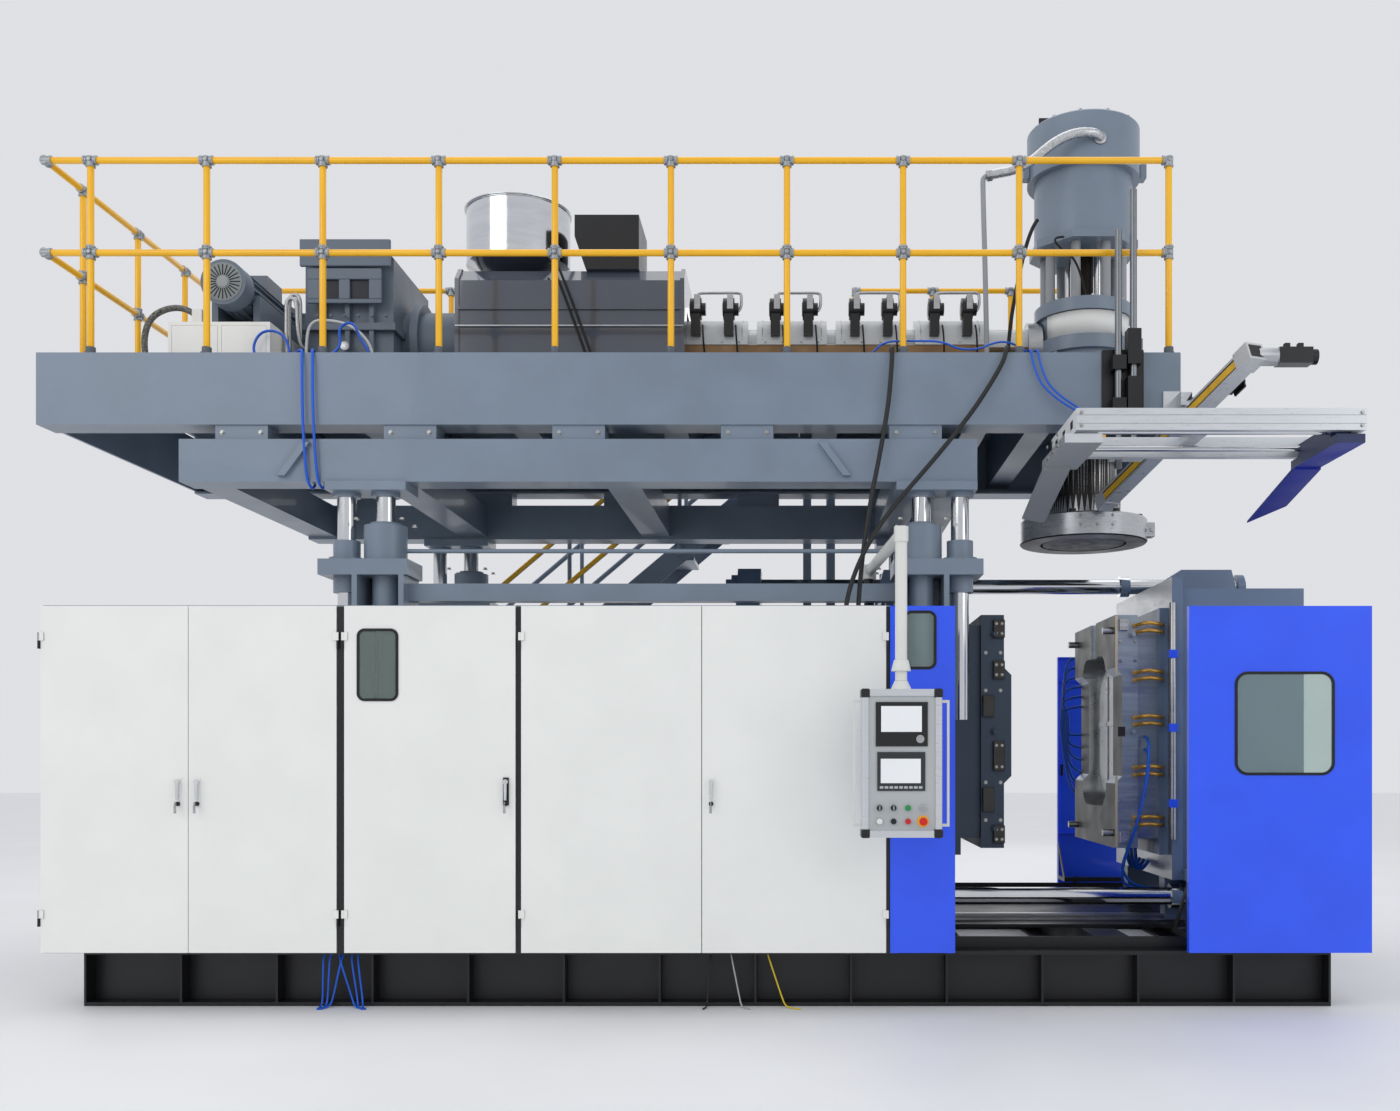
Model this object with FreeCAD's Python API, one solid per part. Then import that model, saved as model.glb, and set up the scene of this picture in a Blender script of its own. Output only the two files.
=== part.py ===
"""Accumulator-head blow moulding machine: base, cabinets, clamp, lifting frame, extruder deck.

Frame: X runs along the machine, Y to its back, Z up.  The origin lies in the plane of
the feet, at the centre of the anchor-bolt pattern.  All sizes are in millimetres.
"""
import FreeCAD
import Part
import math
import os

# ---- overall sizes ---------------------------------------------------------
GUARD_LENGTH = 6926.0      # over the cabinets and the sliding gate
GUARD_DEPTH = 3480.0       # over the front and rear guards
DECK_LENGTH = 6540.0
DECK_DEPTH = 2146.0
CLEAR = 0.3                # gap between pieces that only stand beside each other
RUNNING = 0.08             # radial clearance of a shaft in its bore

# ---- base frame --------------------------------------------------------------
BASE_LENGTH = 6580.0
BEAM_HEIGHT = 290.0
BEAM_WIDTH = 200.0
BEAM_WEB = 14.0
BEAM_FLANGE = 20.0
BASE_INSET = 100.0         # base beams stand back from the guard faces
STIFFENER_THICK = 12.0
STIFFENER_PITCH = 470.0
ANCHOR_HOLE_RADIUS = 14.0
ANCHOR_END_DISTANCE = 190.0
BED_PLATE_THICK = 20.0

# ---- cabinets ------------------------------------------------------------------
CABINET_DEPTH = 550.0
CABINET_TOP = 2100.0
DOOR_BOTTOM_GAP = 5.0
DOOR_THICK = 25.0
DOOR_SHEET = 2.5
DOOR_WIDTHS = (766.0, 768.0, 890.0, 937.0, 957.0)
DOOR_GAPS = (4.0, 41.0, 30.0, 4.0, 21.0)      # after each door, towards +X
DOOR_HINGE_SIDES = (-1, 1, -1, -1, 1)         # -1 left, +1 right
DOOR_HANDLE_SIDES = (1, -1, 1, 0, -1)         # 0 where a door has no handle
CENTRE_GUARD_WIDTH = 338.0
SHEET = 3.0
POST = 40.0
HINGE_OUT = 8.0            # hinge axis beyond the door edge
HINGE_FORWARD = 4.0        # hinge axis in front of the door face
KNUCKLE_RADIUS = 6.0
KNUCKLE_LENGTH = 42.0
HINGE_PIN_RADIUS = 3.5
HINGE_FROM_END = 180.0
HANDLE_HEIGHT = 890.0      # lever pivot above the door's foot
HANDLE_INSET = 48.0
HANDLE_LENGTH = 118.0
HANDLE_WIDTH = 16.0
HANDLE_SPINDLE_RADIUS = 7.0

# ---- windows ---------------------------------------------------------------------
PANE_THICK = 5.0
GASKET_WIDTH = 14.0
GASKET_THICK = 12.0
DOOR_WINDOW = (202.0, 364.0, 34.0)            # width, height, corner radius
CENTRE_WINDOW = (156.0, 291.0, 34.0)
GATE_WINDOW = (505.0, 525.0, 60.0)
DOOR_WINDOW_TOP = 125.0
CENTRE_WINDOW_TOP = 32.0
GATE_WINDOW_TOP = 349.0

# ---- sliding gates -----------------------------------------------------------------
GATE_WIDTH = 951.0
GATE_THICK = 40.0
GATE_SHEET = 3.0
GATE_BRACE_REACH = 250.0
GATE_BRACE_HEIGHT = 300.0
GATE_RAIL_HEIGHT = 60.0
ROLLER_RADIUS = 24.0

# ---- lifting columns and frame ---------------------------------------------------
COLUMN_Y = 980.0
LEFT_CYLINDER_X = -1907.0
RIGHT_CYLINDER_X = 1188.0
GUIDE_OFFSET = 225.0       # guide rod beyond the cylinder, away from the middle
COLUMN_WIDTH = 295.0
COLUMN_DEPTH = 300.0
COLUMN_PLATE = 30.0
HEAD_PLATE_BOTTOM = 2350.0
HEAD_PLATE_THICK = 90.0
CYLINDER_HEAD_RADIUS = 121.0
CYLINDER_HEAD_TOP = 2645.0
CYLINDER_TUBE_RADIUS = 75.0
CYLINDER_TUBE_BOTTOM = 1500.0
PISTON_RADIUS = 55.0
GUIDE_RADIUS = 52.0
GUIDE_BOTTOM = 1529.0
SLEEVE_RADIUS = 76.0
SLEEVE_TOP = 2560.0
SLEEVE_BOTTOM = 2262.0
TIE_BEAM_HEIGHT = 100.0
TIE_BEAM_BOTTOM = 2211.0
LIFT_BOTTOM = 2886.0
LIFT_BEAM_HEIGHT = 244.0
LIFT_BEAM_WIDTH = 200.0
LIFT_LEFT = -3058.0
LIFT_RIGHT = 1500.0
ROD_PLATE_THICK = 50.0
RUNNER_HEIGHT = 84.0
RUNNER_INSET = 13.0        # slide pad behind the deck's edge
RUNNER_WIDTH = 160.0

# ---- deck -------------------------------------------------------------------------
DECK_LEFT = -3877.0
DECK_BEAM_HEIGHT = 406.0
DECK_FLANGE = 200.0
DECK_PLATE = 16.0
FLOOR_THICK = 6.0
RAIL_RADIUS = 19.0
CLAMP_RADIUS = 27.0
CLAMP_REACH = 38.0         # tubes stop short of a crossing by this much
TOP_RAIL_HEIGHT = 1110.0
MID_RAIL_HEIGHT = 580.0
FRONT_POST_FIRST = 297.0   # from the deck's left end
FRONT_POST_PITCH = 665.6
FRONT_POST_COUNT = 9
REAR_GATE_LEFT = -600.0    # gap in the rear rail where the stair arrives
REAR_GATE_RIGHT = 893.0

# ---- extruder ------------------------------------------------------------------------
SCREW_AXIS_HEIGHT = 364.0  # above the deck floor
SCREW_RADIUS = 60.0
BARREL_RADIUS = 112.0
SHELL_LENGTH = 450.0
SHELL_PITCH = 508.0
SHELL_RADIUS = 165.0
FIRST_SHELL_X = -72.0
SHELL_COUNT = 4
COVER_LEFT = -1675.0
COVER_RIGHT = -236.0
COVER_HALF_WIDTH = 350.0
COVER_TOP = 4394.0
HOPPER_X = -1350.0
HOPPER_RADIUS = 333.0
HOPPER_TOP = 4862.0
HOPPER_BARREL_BOTTOM = 4500.0
HOPPER_THROAT_RADIUS = 110.0
HOPPER_WALL = 5.0

# ---- accumulator head and die -----------------------------------------------------
HEAD_X = 2338.0
HEAD_CYLINDER_RADIUS = 360.0
HEAD_CYLINDER_BOTTOM = 5055.0
HEAD_CYLINDER_TOP = 5380.0
HEAD_SECOND_RADIUS = 314.0
HEAD_SECOND_BOTTOM = 4640.0
HEAD_PLATE_RADIUS = 300.0
HEAD_BODY_RADIUS = 290.0
HEAD_BORE_RADIUS = 150.0
HEAD_LOWER_RADIUS = 215.0
HEAD_NECK_RADIUS = 240.0
MANDREL_RADIUS = 67.0
RING_OUTER_RADIUS = 408.0
RING_HOLE_RADIUS = 275.0
RING_BOTTOM = 2702.0
RING_HEIGHT = 150.0
DIE_PIN_RADIUS = 262.0
PUSH_ROD_RADIUS = 22.0
PUSH_ROD_CIRCLE = 112.0
TIE_ROD_RADIUS = 30.0
TIE_ROD_CIRCLE = 250.0

# ---- clamp ---------------------------------------------------------------------------
CLAMP_X = 2070.0           # where the mould halves meet
PLATEN_HALF_WIDTH = 685.0
PLATEN_BOTTOM = 576.0
PLATEN_TOP = 2396.0
PLATEN_PLATE = 66.0
PLATEN_FACE = 654.0        # platen face from the meeting plane, as pictured
MOULD_FACE = 338.0         # mould parting face from the meeting plane, as pictured
MOULD_THICK = 140.0
MOULD_HALF_WIDTH = 575.0
MOULD_BOTTOM = 760.0
MOULD_TOP = 2181.0
MOULD_STEP = 45.0          # the parting line steps sideways over the middle
MOULD_STEP_Z = (1199.0, 1815.0)
CAVITY_DEPTH = 72.0
CAVITY_HALF_WIDTH = 340.0
CAVITY_BOTTOM = 1000.0
CAVITY_TOP = 1960.0
CAVITY_CORNER = 150.0
NECK_RADIUS = 60.0
GUIDE_PIN_RADIUS = 22.0
RIB = 40.0
RIGHT_PLATEN_DEPTH = 816.0
LEFT_PLATEN_DEPTH = 408.0
TIE_BAR_RADIUS = 53.0
TIE_BAR_Y = 620.0
TIE_BAR_UPPER_Z = 2509.0
TIE_BAR_LOWER_Z = 473.0
EAR_HALF = 105.0
TAIL_X = 60.0
TAIL_THICK = 160.0
CLAMP_RAM_RADIUS = 110.0
CLAMP_CYLINDER_RADIUS = 170.0
LINEAR_RAIL_Y = 450.0
LINEAR_RAIL_WIDTH = 45.0
LINEAR_RAIL_HEIGHT = 40.0
CARRIAGE_HEIGHT = 70.0

# ---- control box and its arm -------------------------------------------------------
ARM_POST_X = 900.0
ARM_POST_Y = -760.0
ARM_HEIGHT = 2420.0
ARM_PIPE_RADIUS = 30.0
BOX_X = 990.0
BOX_Y = -2050.0
BOX_WIDTH = 398.0
BOX_HEIGHT = 731.0
BOX_DEPTH = 120.0
BOX_BOTTOM = 917.0
PROFILE = 34.0
CONTROL_X = (-111.0, -42.0, 29.0, 103.0)
CONTROL_UPPER = 146.0
CONTROL_LOWER = 80.0
CONTROL_STEM_RADIUS = 8.0

# ---- parison pinch unit and belt unit ----------------------------------------------
PINCH_LEFT = 1911.0
PINCH_RIGHT = 3402.0
PINCH_OUT = 92.0           # back beam in front of the deck
PINCH_DEPTH = 654.0
PINCH_BOTTOM = 2995.0
PINCH_HEIGHT = 113.0
PINCH_BEAM = 45.0
PINCH_GUIDE_X = 2330.0
PINCH_SHAFT_RADIUS = 16.0
JAW_WIDTH = 147.0
JAW_TIP_Y = -450.0
JAW_TIP_Z = 2764.0
BELT_NEAR_X = 2843.0
BELT_NEAR_OUT = 624.0      # in front of the deck
BELT_NEAR_Z = 3407.0
BELT_FAR_X = 2371.0
BELT_FAR_IN = 573.0        # behind the deck's front
BELT_FAR_Z = 2888.0
BELT_WIDTH = 96.0
BELT_DEPTH = 84.0
CABLE_RADIUS = 13.0
CABLE_BEND = 300.0
HOSE_RADIUS = 6.0
HOSE_BEND = 120.0

# ---- rear stair -----------------------------------------------------------------------
STAIR_SLOPE = 0.85
STAIR_TOP_X = 472.0
STAIR_WIDTH = 520.0
STAIR_GAP = 140.0          # clear of the moving deck
STAIR_TREADS = 17
STAIR_HANDRAIL = 850.0

# ---- derived levels and edges -------------------------------------------------------
V = FreeCAD.Vector
FRONT = -GUARD_DEPTH / 2
BASE_FRONT = FRONT + BASE_INSET
CABINET_LEFT = -GUARD_LENGTH / 2
GATE_RIGHT = GUARD_LENGTH / 2
GATE_LEFT = GATE_RIGHT - GATE_WIDTH
DOOR_BOTTOM = BEAM_HEIGHT + DOOR_BOTTOM_GAP
BED_TOP = BEAM_HEIGHT + BED_PLATE_THICK
LIFT_TOP = LIFT_BOTTOM + LIFT_BEAM_HEIGHT
DECK_BOTTOM = LIFT_TOP + RUNNER_HEIGHT
DECK_TOP = DECK_BOTTOM + DECK_BEAM_HEIGHT
FLOOR = DECK_TOP + FLOOR_THICK
DECK_RIGHT = DECK_LEFT + DECK_LENGTH
DECK_FRONT = -DECK_DEPTH / 2
PINCH_BACK = DECK_FRONT - PINCH_OUT
PINCH_FRONT = PINCH_BACK - PINCH_DEPTH
BELT_NEAR = (BELT_NEAR_X, DECK_FRONT - BELT_NEAR_OUT, BELT_NEAR_Z)
BELT_FAR = (BELT_FAR_X, DECK_FRONT + BELT_FAR_IN, BELT_FAR_Z)
SCREW_AXIS = FLOOR + SCREW_AXIS_HEIGHT
HEAD_PLATE_TOP = HEAD_PLATE_BOTTOM + HEAD_PLATE_THICK
RING_TOP = RING_BOTTOM + RING_HEIGHT
RAIL_TOP = BED_TOP + LINEAR_RAIL_HEIGHT
CARRIAGE_TOP = RAIL_TOP + CARRIAGE_HEIGHT


# ---- shape helpers ------------------------------------------------------------------
def block(x0, x1, y0, y1, z0, z1):
    """Box between two corners."""
    return Part.makeBox(x1 - x0, y1 - y0, z1 - z0, V(x0, y0, z0))


def rod_x(x0, x1, y, z, radius):
    return Part.makeCylinder(radius, x1 - x0, V(x0, y, z), V(1, 0, 0))


def rod_y(x, y0, y1, z, radius):
    return Part.makeCylinder(radius, y1 - y0, V(x, y0, z), V(0, 1, 0))


def rod_z(x, y, z0, z1, radius):
    return Part.makeCylinder(radius, z1 - z0, V(x, y, z0), V(0, 0, 1))


def rod_between(start, end, radius):
    """Round bar from one point to another."""
    along = V(*end) - V(*start)
    return Part.makeCylinder(radius, along.Length, V(*start), along)


def bar_between(start, end, radius):
    """Thin round bar between two points, drawn with twelve flat sides."""
    a = V(*start)
    b = V(*end)
    along = (b - a).normalize()
    guide = V(1, 0, 0) if abs(along.x) < 0.9 else V(0, 1, 0)
    across = along.cross(guide).normalize()
    other = along.cross(across)
    ring = []
    for step in range(13):
        angle = math.radians(30 * step)
        ring.append(a + across * (radius * math.cos(angle))
                    + other * (radius * math.sin(angle)))
    return Part.Face(Part.makePolygon(ring)).extrude(b - a)


def bar_z(x, y, z0, z1, radius):
    """Upright twelve-sided bar."""
    return bar_between((x, y, z0), (x, y, z1), radius)


def prism(points, along):
    """Flat outline pushed along a vector."""
    corners = [V(*point) for point in points]
    return Part.Face(Part.makePolygon(corners + [corners[0]])).extrude(V(*along))


def prism_x(outline, x0, x1):
    """Outline in (y, z) pushed from x0 to x1."""
    return prism([(x0, y, z) for y, z in outline], (x1 - x0, 0, 0))


def prism_y(outline, y0, y1):
    """Outline in (x, z) pushed from y0 to y1."""
    return prism([(x, y0, z) for x, z in outline], (0, y1 - y0, 0))


def prism_z(outline, z0, z1):
    """Outline in (x, y) pushed from z0 to z1."""
    return prism([(x, y, z0) for x, y in outline], (0, 0, z1 - z0))


def rounded_block_y(x0, x1, y0, y1, z0, z1, radius):
    """Box whose four edges along Y are rounded."""
    body = block(x0, x1, y0, y1, z0, z1)
    edges = [e for e in body.Edges if abs(e.tangentAt(e.FirstParameter).y) > 0.99]
    return body.makeFillet(radius, edges)


def both_sides(make):
    """The front piece and its mirror image at the back."""
    piece = make()
    return [piece, piece.mirror(V(0, 0, 0), V(0, 1, 0))]


def revolve_z(outline, x, y):
    """Outline of (radius, z) points turned about the vertical through (x, y)."""
    corners = [V(x + r, y, z) for r, z in outline]
    face = Part.Face(Part.makePolygon(corners + [corners[0]]))
    return face.revolve(V(x, y, 0), V(0, 0, 1), 360)


def h_outline(centre, half_width, z0, height, web, flange):
    """H-section outline in one plane: (across, z) points."""
    low = z0 + flange
    high = z0 + height - flange
    top = z0 + height
    return [(centre - half_width, z0), (centre + half_width, z0),
            (centre + half_width, low), (centre + web / 2, low),
            (centre + web / 2, high), (centre + half_width, high),
            (centre + half_width, top), (centre - half_width, top),
            (centre - half_width, high), (centre - web / 2, high),
            (centre - web / 2, low), (centre - half_width, low)]


def window(x0, y0, z_top, size, depth_into):
    """Pane and gasket of a window whose left edge is x0 and whose sheet starts at y0."""
    width, height, radius = size
    z0 = z_top - height
    outer = rounded_block_y(x0 - GASKET_WIDTH / 2, x0 + width + GASKET_WIDTH / 2,
                            y0 - (GASKET_THICK - depth_into) / 2,
                            y0 + (GASKET_THICK + depth_into) / 2,
                            z0 - GASKET_WIDTH / 2, z_top + GASKET_WIDTH / 2,
                            radius + GASKET_WIDTH / 2)
    inner = rounded_block_y(x0 + GASKET_WIDTH / 2, x0 + width - GASKET_WIDTH / 2,
                            y0 - GASKET_THICK, y0 + GASKET_THICK + depth_into,
                            z0 + GASKET_WIDTH / 2, z_top - GASKET_WIDTH / 2,
                            radius - GASKET_WIDTH / 2)
    sheet_zone = block(x0 - width, x0 + 2 * width, y0, y0 + depth_into,
                       z0 - height, z_top + height)
    hole = rounded_block_y(x0, x0 + width, y0 - 1, y0 + depth_into + 1, z0, z_top, radius)
    gasket = outer.cut(inner).cut(sheet_zone.cut(hole))
    pane_y = y0 + (depth_into - PANE_THICK) / 2
    pane = rounded_block_y(x0 + GASKET_WIDTH / 2, x0 + width - GASKET_WIDTH / 2,
                           pane_y, pane_y + PANE_THICK,
                           z0 + GASKET_WIDTH / 2, z_top - GASKET_WIDTH / 2,
                           radius - GASKET_WIDTH / 2)
    return hole, gasket, pane


def save(node, solids):
    """Write one sub-part."""
    Part.makeCompound(solids).exportStep("parts/" + node + ".step")


# ---- base ---------------------------------------------------------------------------
def base_beam_positions():
    """Cross beams under the end frames, the columns, the arm post and the clamp."""
    end = BASE_LENGTH / 2 - BEAM_WIDTH / 2
    return (-end, LEFT_CYLINDER_X - 20, -650.0, 250.0, ARM_POST_X - 40, RIGHT_CYLINDER_X + 115,
            CLAMP_X + 200, end)


def side_beam():
    """Front H-beam with its four anchor holes' share drilled in the foot flange."""
    centre = BASE_FRONT + BEAM_WIDTH / 2
    outline = h_outline(centre, BEAM_WIDTH / 2, 0, BEAM_HEIGHT, BEAM_WEB, BEAM_FLANGE)
    beam = prism_x(outline, -BASE_LENGTH / 2, BASE_LENGTH / 2)
    holes = [rod_z(side * anchor_x(), -anchor_y(), -1, BEAM_FLANGE + 1, ANCHOR_HOLE_RADIUS)
             for side in (-1, 1)]
    return beam.cut(holes)


def anchor_x():
    return BASE_LENGTH / 2 - ANCHOR_END_DISTANCE


def anchor_y():
    return -BASE_FRONT - (BEAM_WIDTH - BEAM_WEB) / 4


def base_frame():
    solids = both_sides(side_beam)
    inner = -BASE_FRONT - BEAM_WIDTH
    for x in base_beam_positions():
        outline = h_outline(x, BEAM_WIDTH / 2, 0, BEAM_HEIGHT, BEAM_WEB, BEAM_FLANGE)
        solids.append(prism_y(outline, -inner, inner))
    count = int((BASE_LENGTH - 2 * STIFFENER_PITCH / 4) / STIFFENER_PITCH)
    pitch = (BASE_LENGTH - STIFFENER_THICK) / count
    for index in range(count + 1):
        x = -BASE_LENGTH / 2 + index * pitch
        solids += both_sides(lambda: block(
            x, x + STIFFENER_THICK, BASE_FRONT,
            BASE_FRONT + (BEAM_WIDTH - BEAM_WEB) / 2,
            BEAM_FLANGE, BEAM_HEIGHT - BEAM_FLANGE))
    bed_left = TAIL_X - 390
    solids.append(block(bed_left, BASE_LENGTH / 2, -PLATEN_HALF_WIDTH, PLATEN_HALF_WIDTH,
                        BEAM_HEIGHT, BED_TOP))
    return solids


# ---- cabinets -----------------------------------------------------------------------
def door_lefts():
    """Left edge of each door."""
    edges = []
    x = CABINET_LEFT + 2
    for width, gap in zip(DOOR_WIDTHS, DOOR_GAPS):
        edges.append(x)
        x += width + gap
    return edges


def cabinet_right():
    return door_lefts()[-1] + DOOR_WIDTHS[-1] + DOOR_GAPS[-1]


def bay_edges():
    """Left and right limits of the three compartments."""
    lefts = door_lefts()
    return [(CABINET_LEFT, lefts[2] - DOOR_GAPS[1] / 2),
            (lefts[2] - DOOR_GAPS[1] / 2, lefts[3] - DOOR_GAPS[2] / 2),
            (lefts[3] - DOOR_GAPS[2] / 2, cabinet_right() - 1)]


def hinge_axis(index):
    """(x, y) of a door's hinge line."""
    left = door_lefts()[index]
    if DOOR_HINGE_SIDES[index] < 0:
        return left - HINGE_OUT, FRONT - HINGE_FORWARD
    return left + DOOR_WIDTHS[index] + HINGE_OUT, FRONT - HINGE_FORWARD


def hinge_levels():
    """Foot of the moving knuckle of the lower and upper hinges."""
    return (DOOR_BOTTOM + HINGE_FROM_END, CABINET_TOP - HINGE_FROM_END)


def cabinet_back():
    return FRONT + DOOR_THICK + CABINET_DEPTH


def cabinet_frame():
    """Posts, rails and the fixed hinge halves with their pins."""
    solids = []
    front = FRONT + DOOR_THICK
    back = cabinet_back()
    edges = [CABINET_LEFT] + [right for _, right in bay_edges()]
    pillars = []
    for index, x in enumerate(edges):
        x0 = x if index == 0 else x - POST / 2
        x1 = x0 + POST
        if index == len(edges) - 1:
            x0, x1 = x - POST, x
        pillars.append((x0, x1))
        post = block(x0, x1, front, front + POST, BEAM_HEIGHT, CABINET_TOP - SHEET)
        if index in (1, 2):
            gap = DOOR_GAPS[index] / 2 - 3
            post = post.fuse(block(x - gap, x + gap, FRONT + 6, front,
                                   BEAM_HEIGHT, CABINET_TOP - SHEET))
        if index == 3:
            post = post.fuse(block(x - DOOR_GAPS[4] + 4, x, FRONT + 6, front,
                                   BEAM_HEIGHT, CABINET_TOP - SHEET))
        solids.append(post.removeSplitter())
        solids.append(block(x0, x1, back - POST, back, BEAM_HEIGHT, CABINET_TOP - SHEET))
    for (_, x0), (x1, _) in zip(pillars, pillars[1:]):
        for z in (BEAM_HEIGHT, CABINET_TOP - SHEET - POST):
            for y in (front, back - POST):
                solids.append(block(x0, x1, y, y + POST, z, z + POST))
    for index in range(len(DOOR_WIDTHS)):
        x, y = hinge_axis(index)
        side = -DOOR_HINGE_SIDES[index]
        for z in hinge_levels():
            knuckle = rod_z(x, y, z - KNUCKLE_LENGTH - 1, z - 1, KNUCKLE_RADIUS)
            pin = rod_z(x, y, z - 2, z + KNUCKLE_LENGTH * 0.8, HINGE_PIN_RADIUS)
            reach = min(x, x + side * (HINGE_OUT - 2)), max(x, x + side * (HINGE_OUT - 2))
            strap = block(reach[0] - 2, reach[1] + 2 if index else reach[1], y, front + 15,
                          z - KNUCKLE_LENGTH - 1, z - 1)
            if index:
                strap = block(x - 3, x + 3, y, FRONT + 6, z - KNUCKLE_LENGTH - 1, z - 1)
            solids.append(knuckle.fuse([pin, strap]).removeSplitter())
    return solids


def cabinet_panels():
    """Roof, back, floor and end sheets, with a divider between the compartments."""
    solids = []
    front = FRONT + DOOR_THICK
    back = cabinet_back()
    right = bay_edges()[-1][1]
    solids.append(block(CABINET_LEFT, right, front, back + SHEET, CABINET_TOP - SHEET,
                        CABINET_TOP))
    for index, (x0, x1) in enumerate(bay_edges()):
        solids.append(block(x0, x1 - CLEAR, back, back + SHEET, BEAM_HEIGHT,
                            CABINET_TOP - SHEET))
        inside_left = x0 + (POST if index == 0 else POST / 2)
        inside_right = x1 - (POST if index == 2 else POST / 2)
        solids.append(block(inside_left, inside_right, front + POST, back - POST,
                            BEAM_HEIGHT, BEAM_HEIGHT + SHEET))
        if index:
            solids.append(block(x0 - SHEET / 2, x0 + SHEET / 2, front + POST, back - POST,
                                BEAM_HEIGHT + SHEET, CABINET_TOP - SHEET))
    for x in (CABINET_LEFT, right - SHEET):
        solids.append(block(x, x + SHEET, front + POST, back - POST, BEAM_HEIGHT + SHEET,
                            CABINET_TOP - SHEET))
    return solids


def door(index):
    """Folded sheet leaf with its stiffener, hinge knuckles, window and lock plate."""
    left = door_lefts()[index]
    width = DOOR_WIDTHS[index]
    right = left + width
    top = CABINET_TOP
    leaf = block(left, right, FRONT, FRONT + DOOR_THICK, DOOR_BOTTOM, top)
    inside = block(left + DOOR_SHEET, right - DOOR_SHEET, FRONT + DOOR_SHEET,
                   FRONT + DOOR_THICK + 1, DOOR_BOTTOM + DOOR_SHEET, top - DOOR_SHEET)
    leaf = leaf.cut(inside)
    extra = []
    if index == 2:
        hole, gasket, pane = window(left + 73, FRONT, top - DOOR_WINDOW_TOP, DOOR_WINDOW,
                                    DOOR_SHEET)
        leaf = leaf.cut(hole)
        extra = [gasket, pane]
    brace_x = right - 120 if index == 2 else left + width / 2
    leaf = leaf.fuse(block(brace_x - 20, brace_x + 20, FRONT + DOOR_SHEET,
                           FRONT + DOOR_THICK - 4, DOOR_BOTTOM + DOOR_SHEET,
                           top - DOOR_SHEET))
    x, y = hinge_axis(index)
    knuckles = []
    for z in hinge_levels():
        side = -DOOR_HINGE_SIDES[index]
        strap = block(min(x, x + side * 26), max(x, x + side * 26), y - 1.5, FRONT,
                      z, z + KNUCKLE_LENGTH)
        knuckle = rod_z(x, y, z, z + KNUCKLE_LENGTH, KNUCKLE_RADIUS).fuse(strap)
        knuckles.append(knuckle.cut(rod_z(x, y, z - 1, z + KNUCKLE_LENGTH * 0.85,
                                          HINGE_PIN_RADIUS + RUNNING)))
    leaf = leaf.fuse(knuckles).removeSplitter()
    if DOOR_HANDLE_SIDES[index]:
        x, z = handle_pivot(index)
        plate = block(x - 15, x + 15, FRONT - 6, FRONT, z - 122, z + 22)
        bore = rod_y(x, FRONT - 7, FRONT + DOOR_SHEET + 1, z,
                     HANDLE_SPINDLE_RADIUS + RUNNING)
        leaf = leaf.cut(bore)
        extra.append(plate.cut(bore))
        extra.append(rod_y(x, FRONT - 12, FRONT - 6, z - 128 + 18, 9))
    return [leaf] + extra


def handle_pivot(index):
    """(x, z) of a lever's spindle."""
    left = door_lefts()[index]
    if DOOR_HANDLE_SIDES[index] > 0:
        return left + DOOR_WIDTHS[index] - HANDLE_INSET, DOOR_BOTTOM + HANDLE_HEIGHT
    return left + HANDLE_INSET, DOOR_BOTTOM + HANDLE_HEIGHT


def door_handle(index):
    """Hanging lever on its spindle, with the cam behind the door sheet."""
    x, z = handle_pivot(index)
    spindle = rod_y(x, FRONT - 12, FRONT + DOOR_SHEET + 6, z, HANDLE_SPINDLE_RADIUS)
    boss = rod_y(x, FRONT - 26, FRONT - 6.5, z, 13)
    lever = prism_y([(x - HANDLE_WIDTH / 2, z), (x + HANDLE_WIDTH / 2, z),
                     (x + HANDLE_WIDTH / 2 - 2, z - HANDLE_LENGTH + 22),
                     (x - HANDLE_WIDTH / 2 + 2, z - HANDLE_LENGTH + 22)],
                    FRONT - 26, FRONT - 14)
    cam = block(x - 9, x + 9, FRONT + DOOR_SHEET + 2, FRONT + DOOR_SHEET + 6, z - 11, z + 40)
    return [spindle.fuse([boss, lever, cam]).removeSplitter()]


def power_pack():
    """Oil tank with its lid, motor, bell housing and pump, and the manifold stack."""
    (left, first), (second, right) = bay_edges()[:2]
    front = FRONT + DOOR_THICK + 90
    back = cabinet_back() - 60
    tank_left = left + 120
    tank_right = first - 260
    foot = BEAM_HEIGHT + SHEET
    top = foot + 560
    tank = block(tank_left, tank_right, front, back, foot, top)
    edges = [e for e in tank.Edges if abs(e.tangentAt(e.FirstParameter).z) > 0.99]
    tank = tank.makeFillet(18, edges)
    lid = block(tank_left - 12, tank_right + 12, front - 12, back + 12, top, top + 12)
    axis_y = (front + back) / 2
    axis_z = top + 12 + 172
    start = tank_left + 110
    foot_block = block(start + 60, start + 380, axis_y - 120, axis_y + 120, top + 12,
                       axis_z - 120)
    motor = rod_x(start, start + 470, axis_y, axis_z, 135).fuse(foot_block)
    fins = [block(start + 40, start + 430, axis_y - 3, axis_y + 3, axis_z + 130,
                  axis_z + 146)]
    for turn in (-50, -25, 25, 50):
        fin = fins[0].copy()
        fin.rotate(V(start, axis_y, axis_z), V(1, 0, 0), turn)
        fins.append(fin)
    motor = motor.fuse(fins[:5]).removeSplitter()
    bell = Part.makeCone(130, 85, 150, V(start + 470, axis_y, axis_z), V(1, 0, 0))
    pump = rod_x(start + 620, start + 860, axis_y, axis_z, 78)
    suction = rod_z(start + 740, axis_y, top + 12, axis_z, 30).cut(pump)
    filler = rod_z(tank_right - 90, axis_y - 100, top + 12, top + 90, 42)
    manifold = block(second + 180, right - 180, front + 80, front + 300, foot, foot + 420)
    valves = []
    for step in range(4):
        z = foot + 60 + step * 92
        valves.append(block(second + 220, right - 220, front, front + 80, z, z + 62))
    return [tank, lid, motor, bell, pump, suction, filler, manifold] + valves


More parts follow.
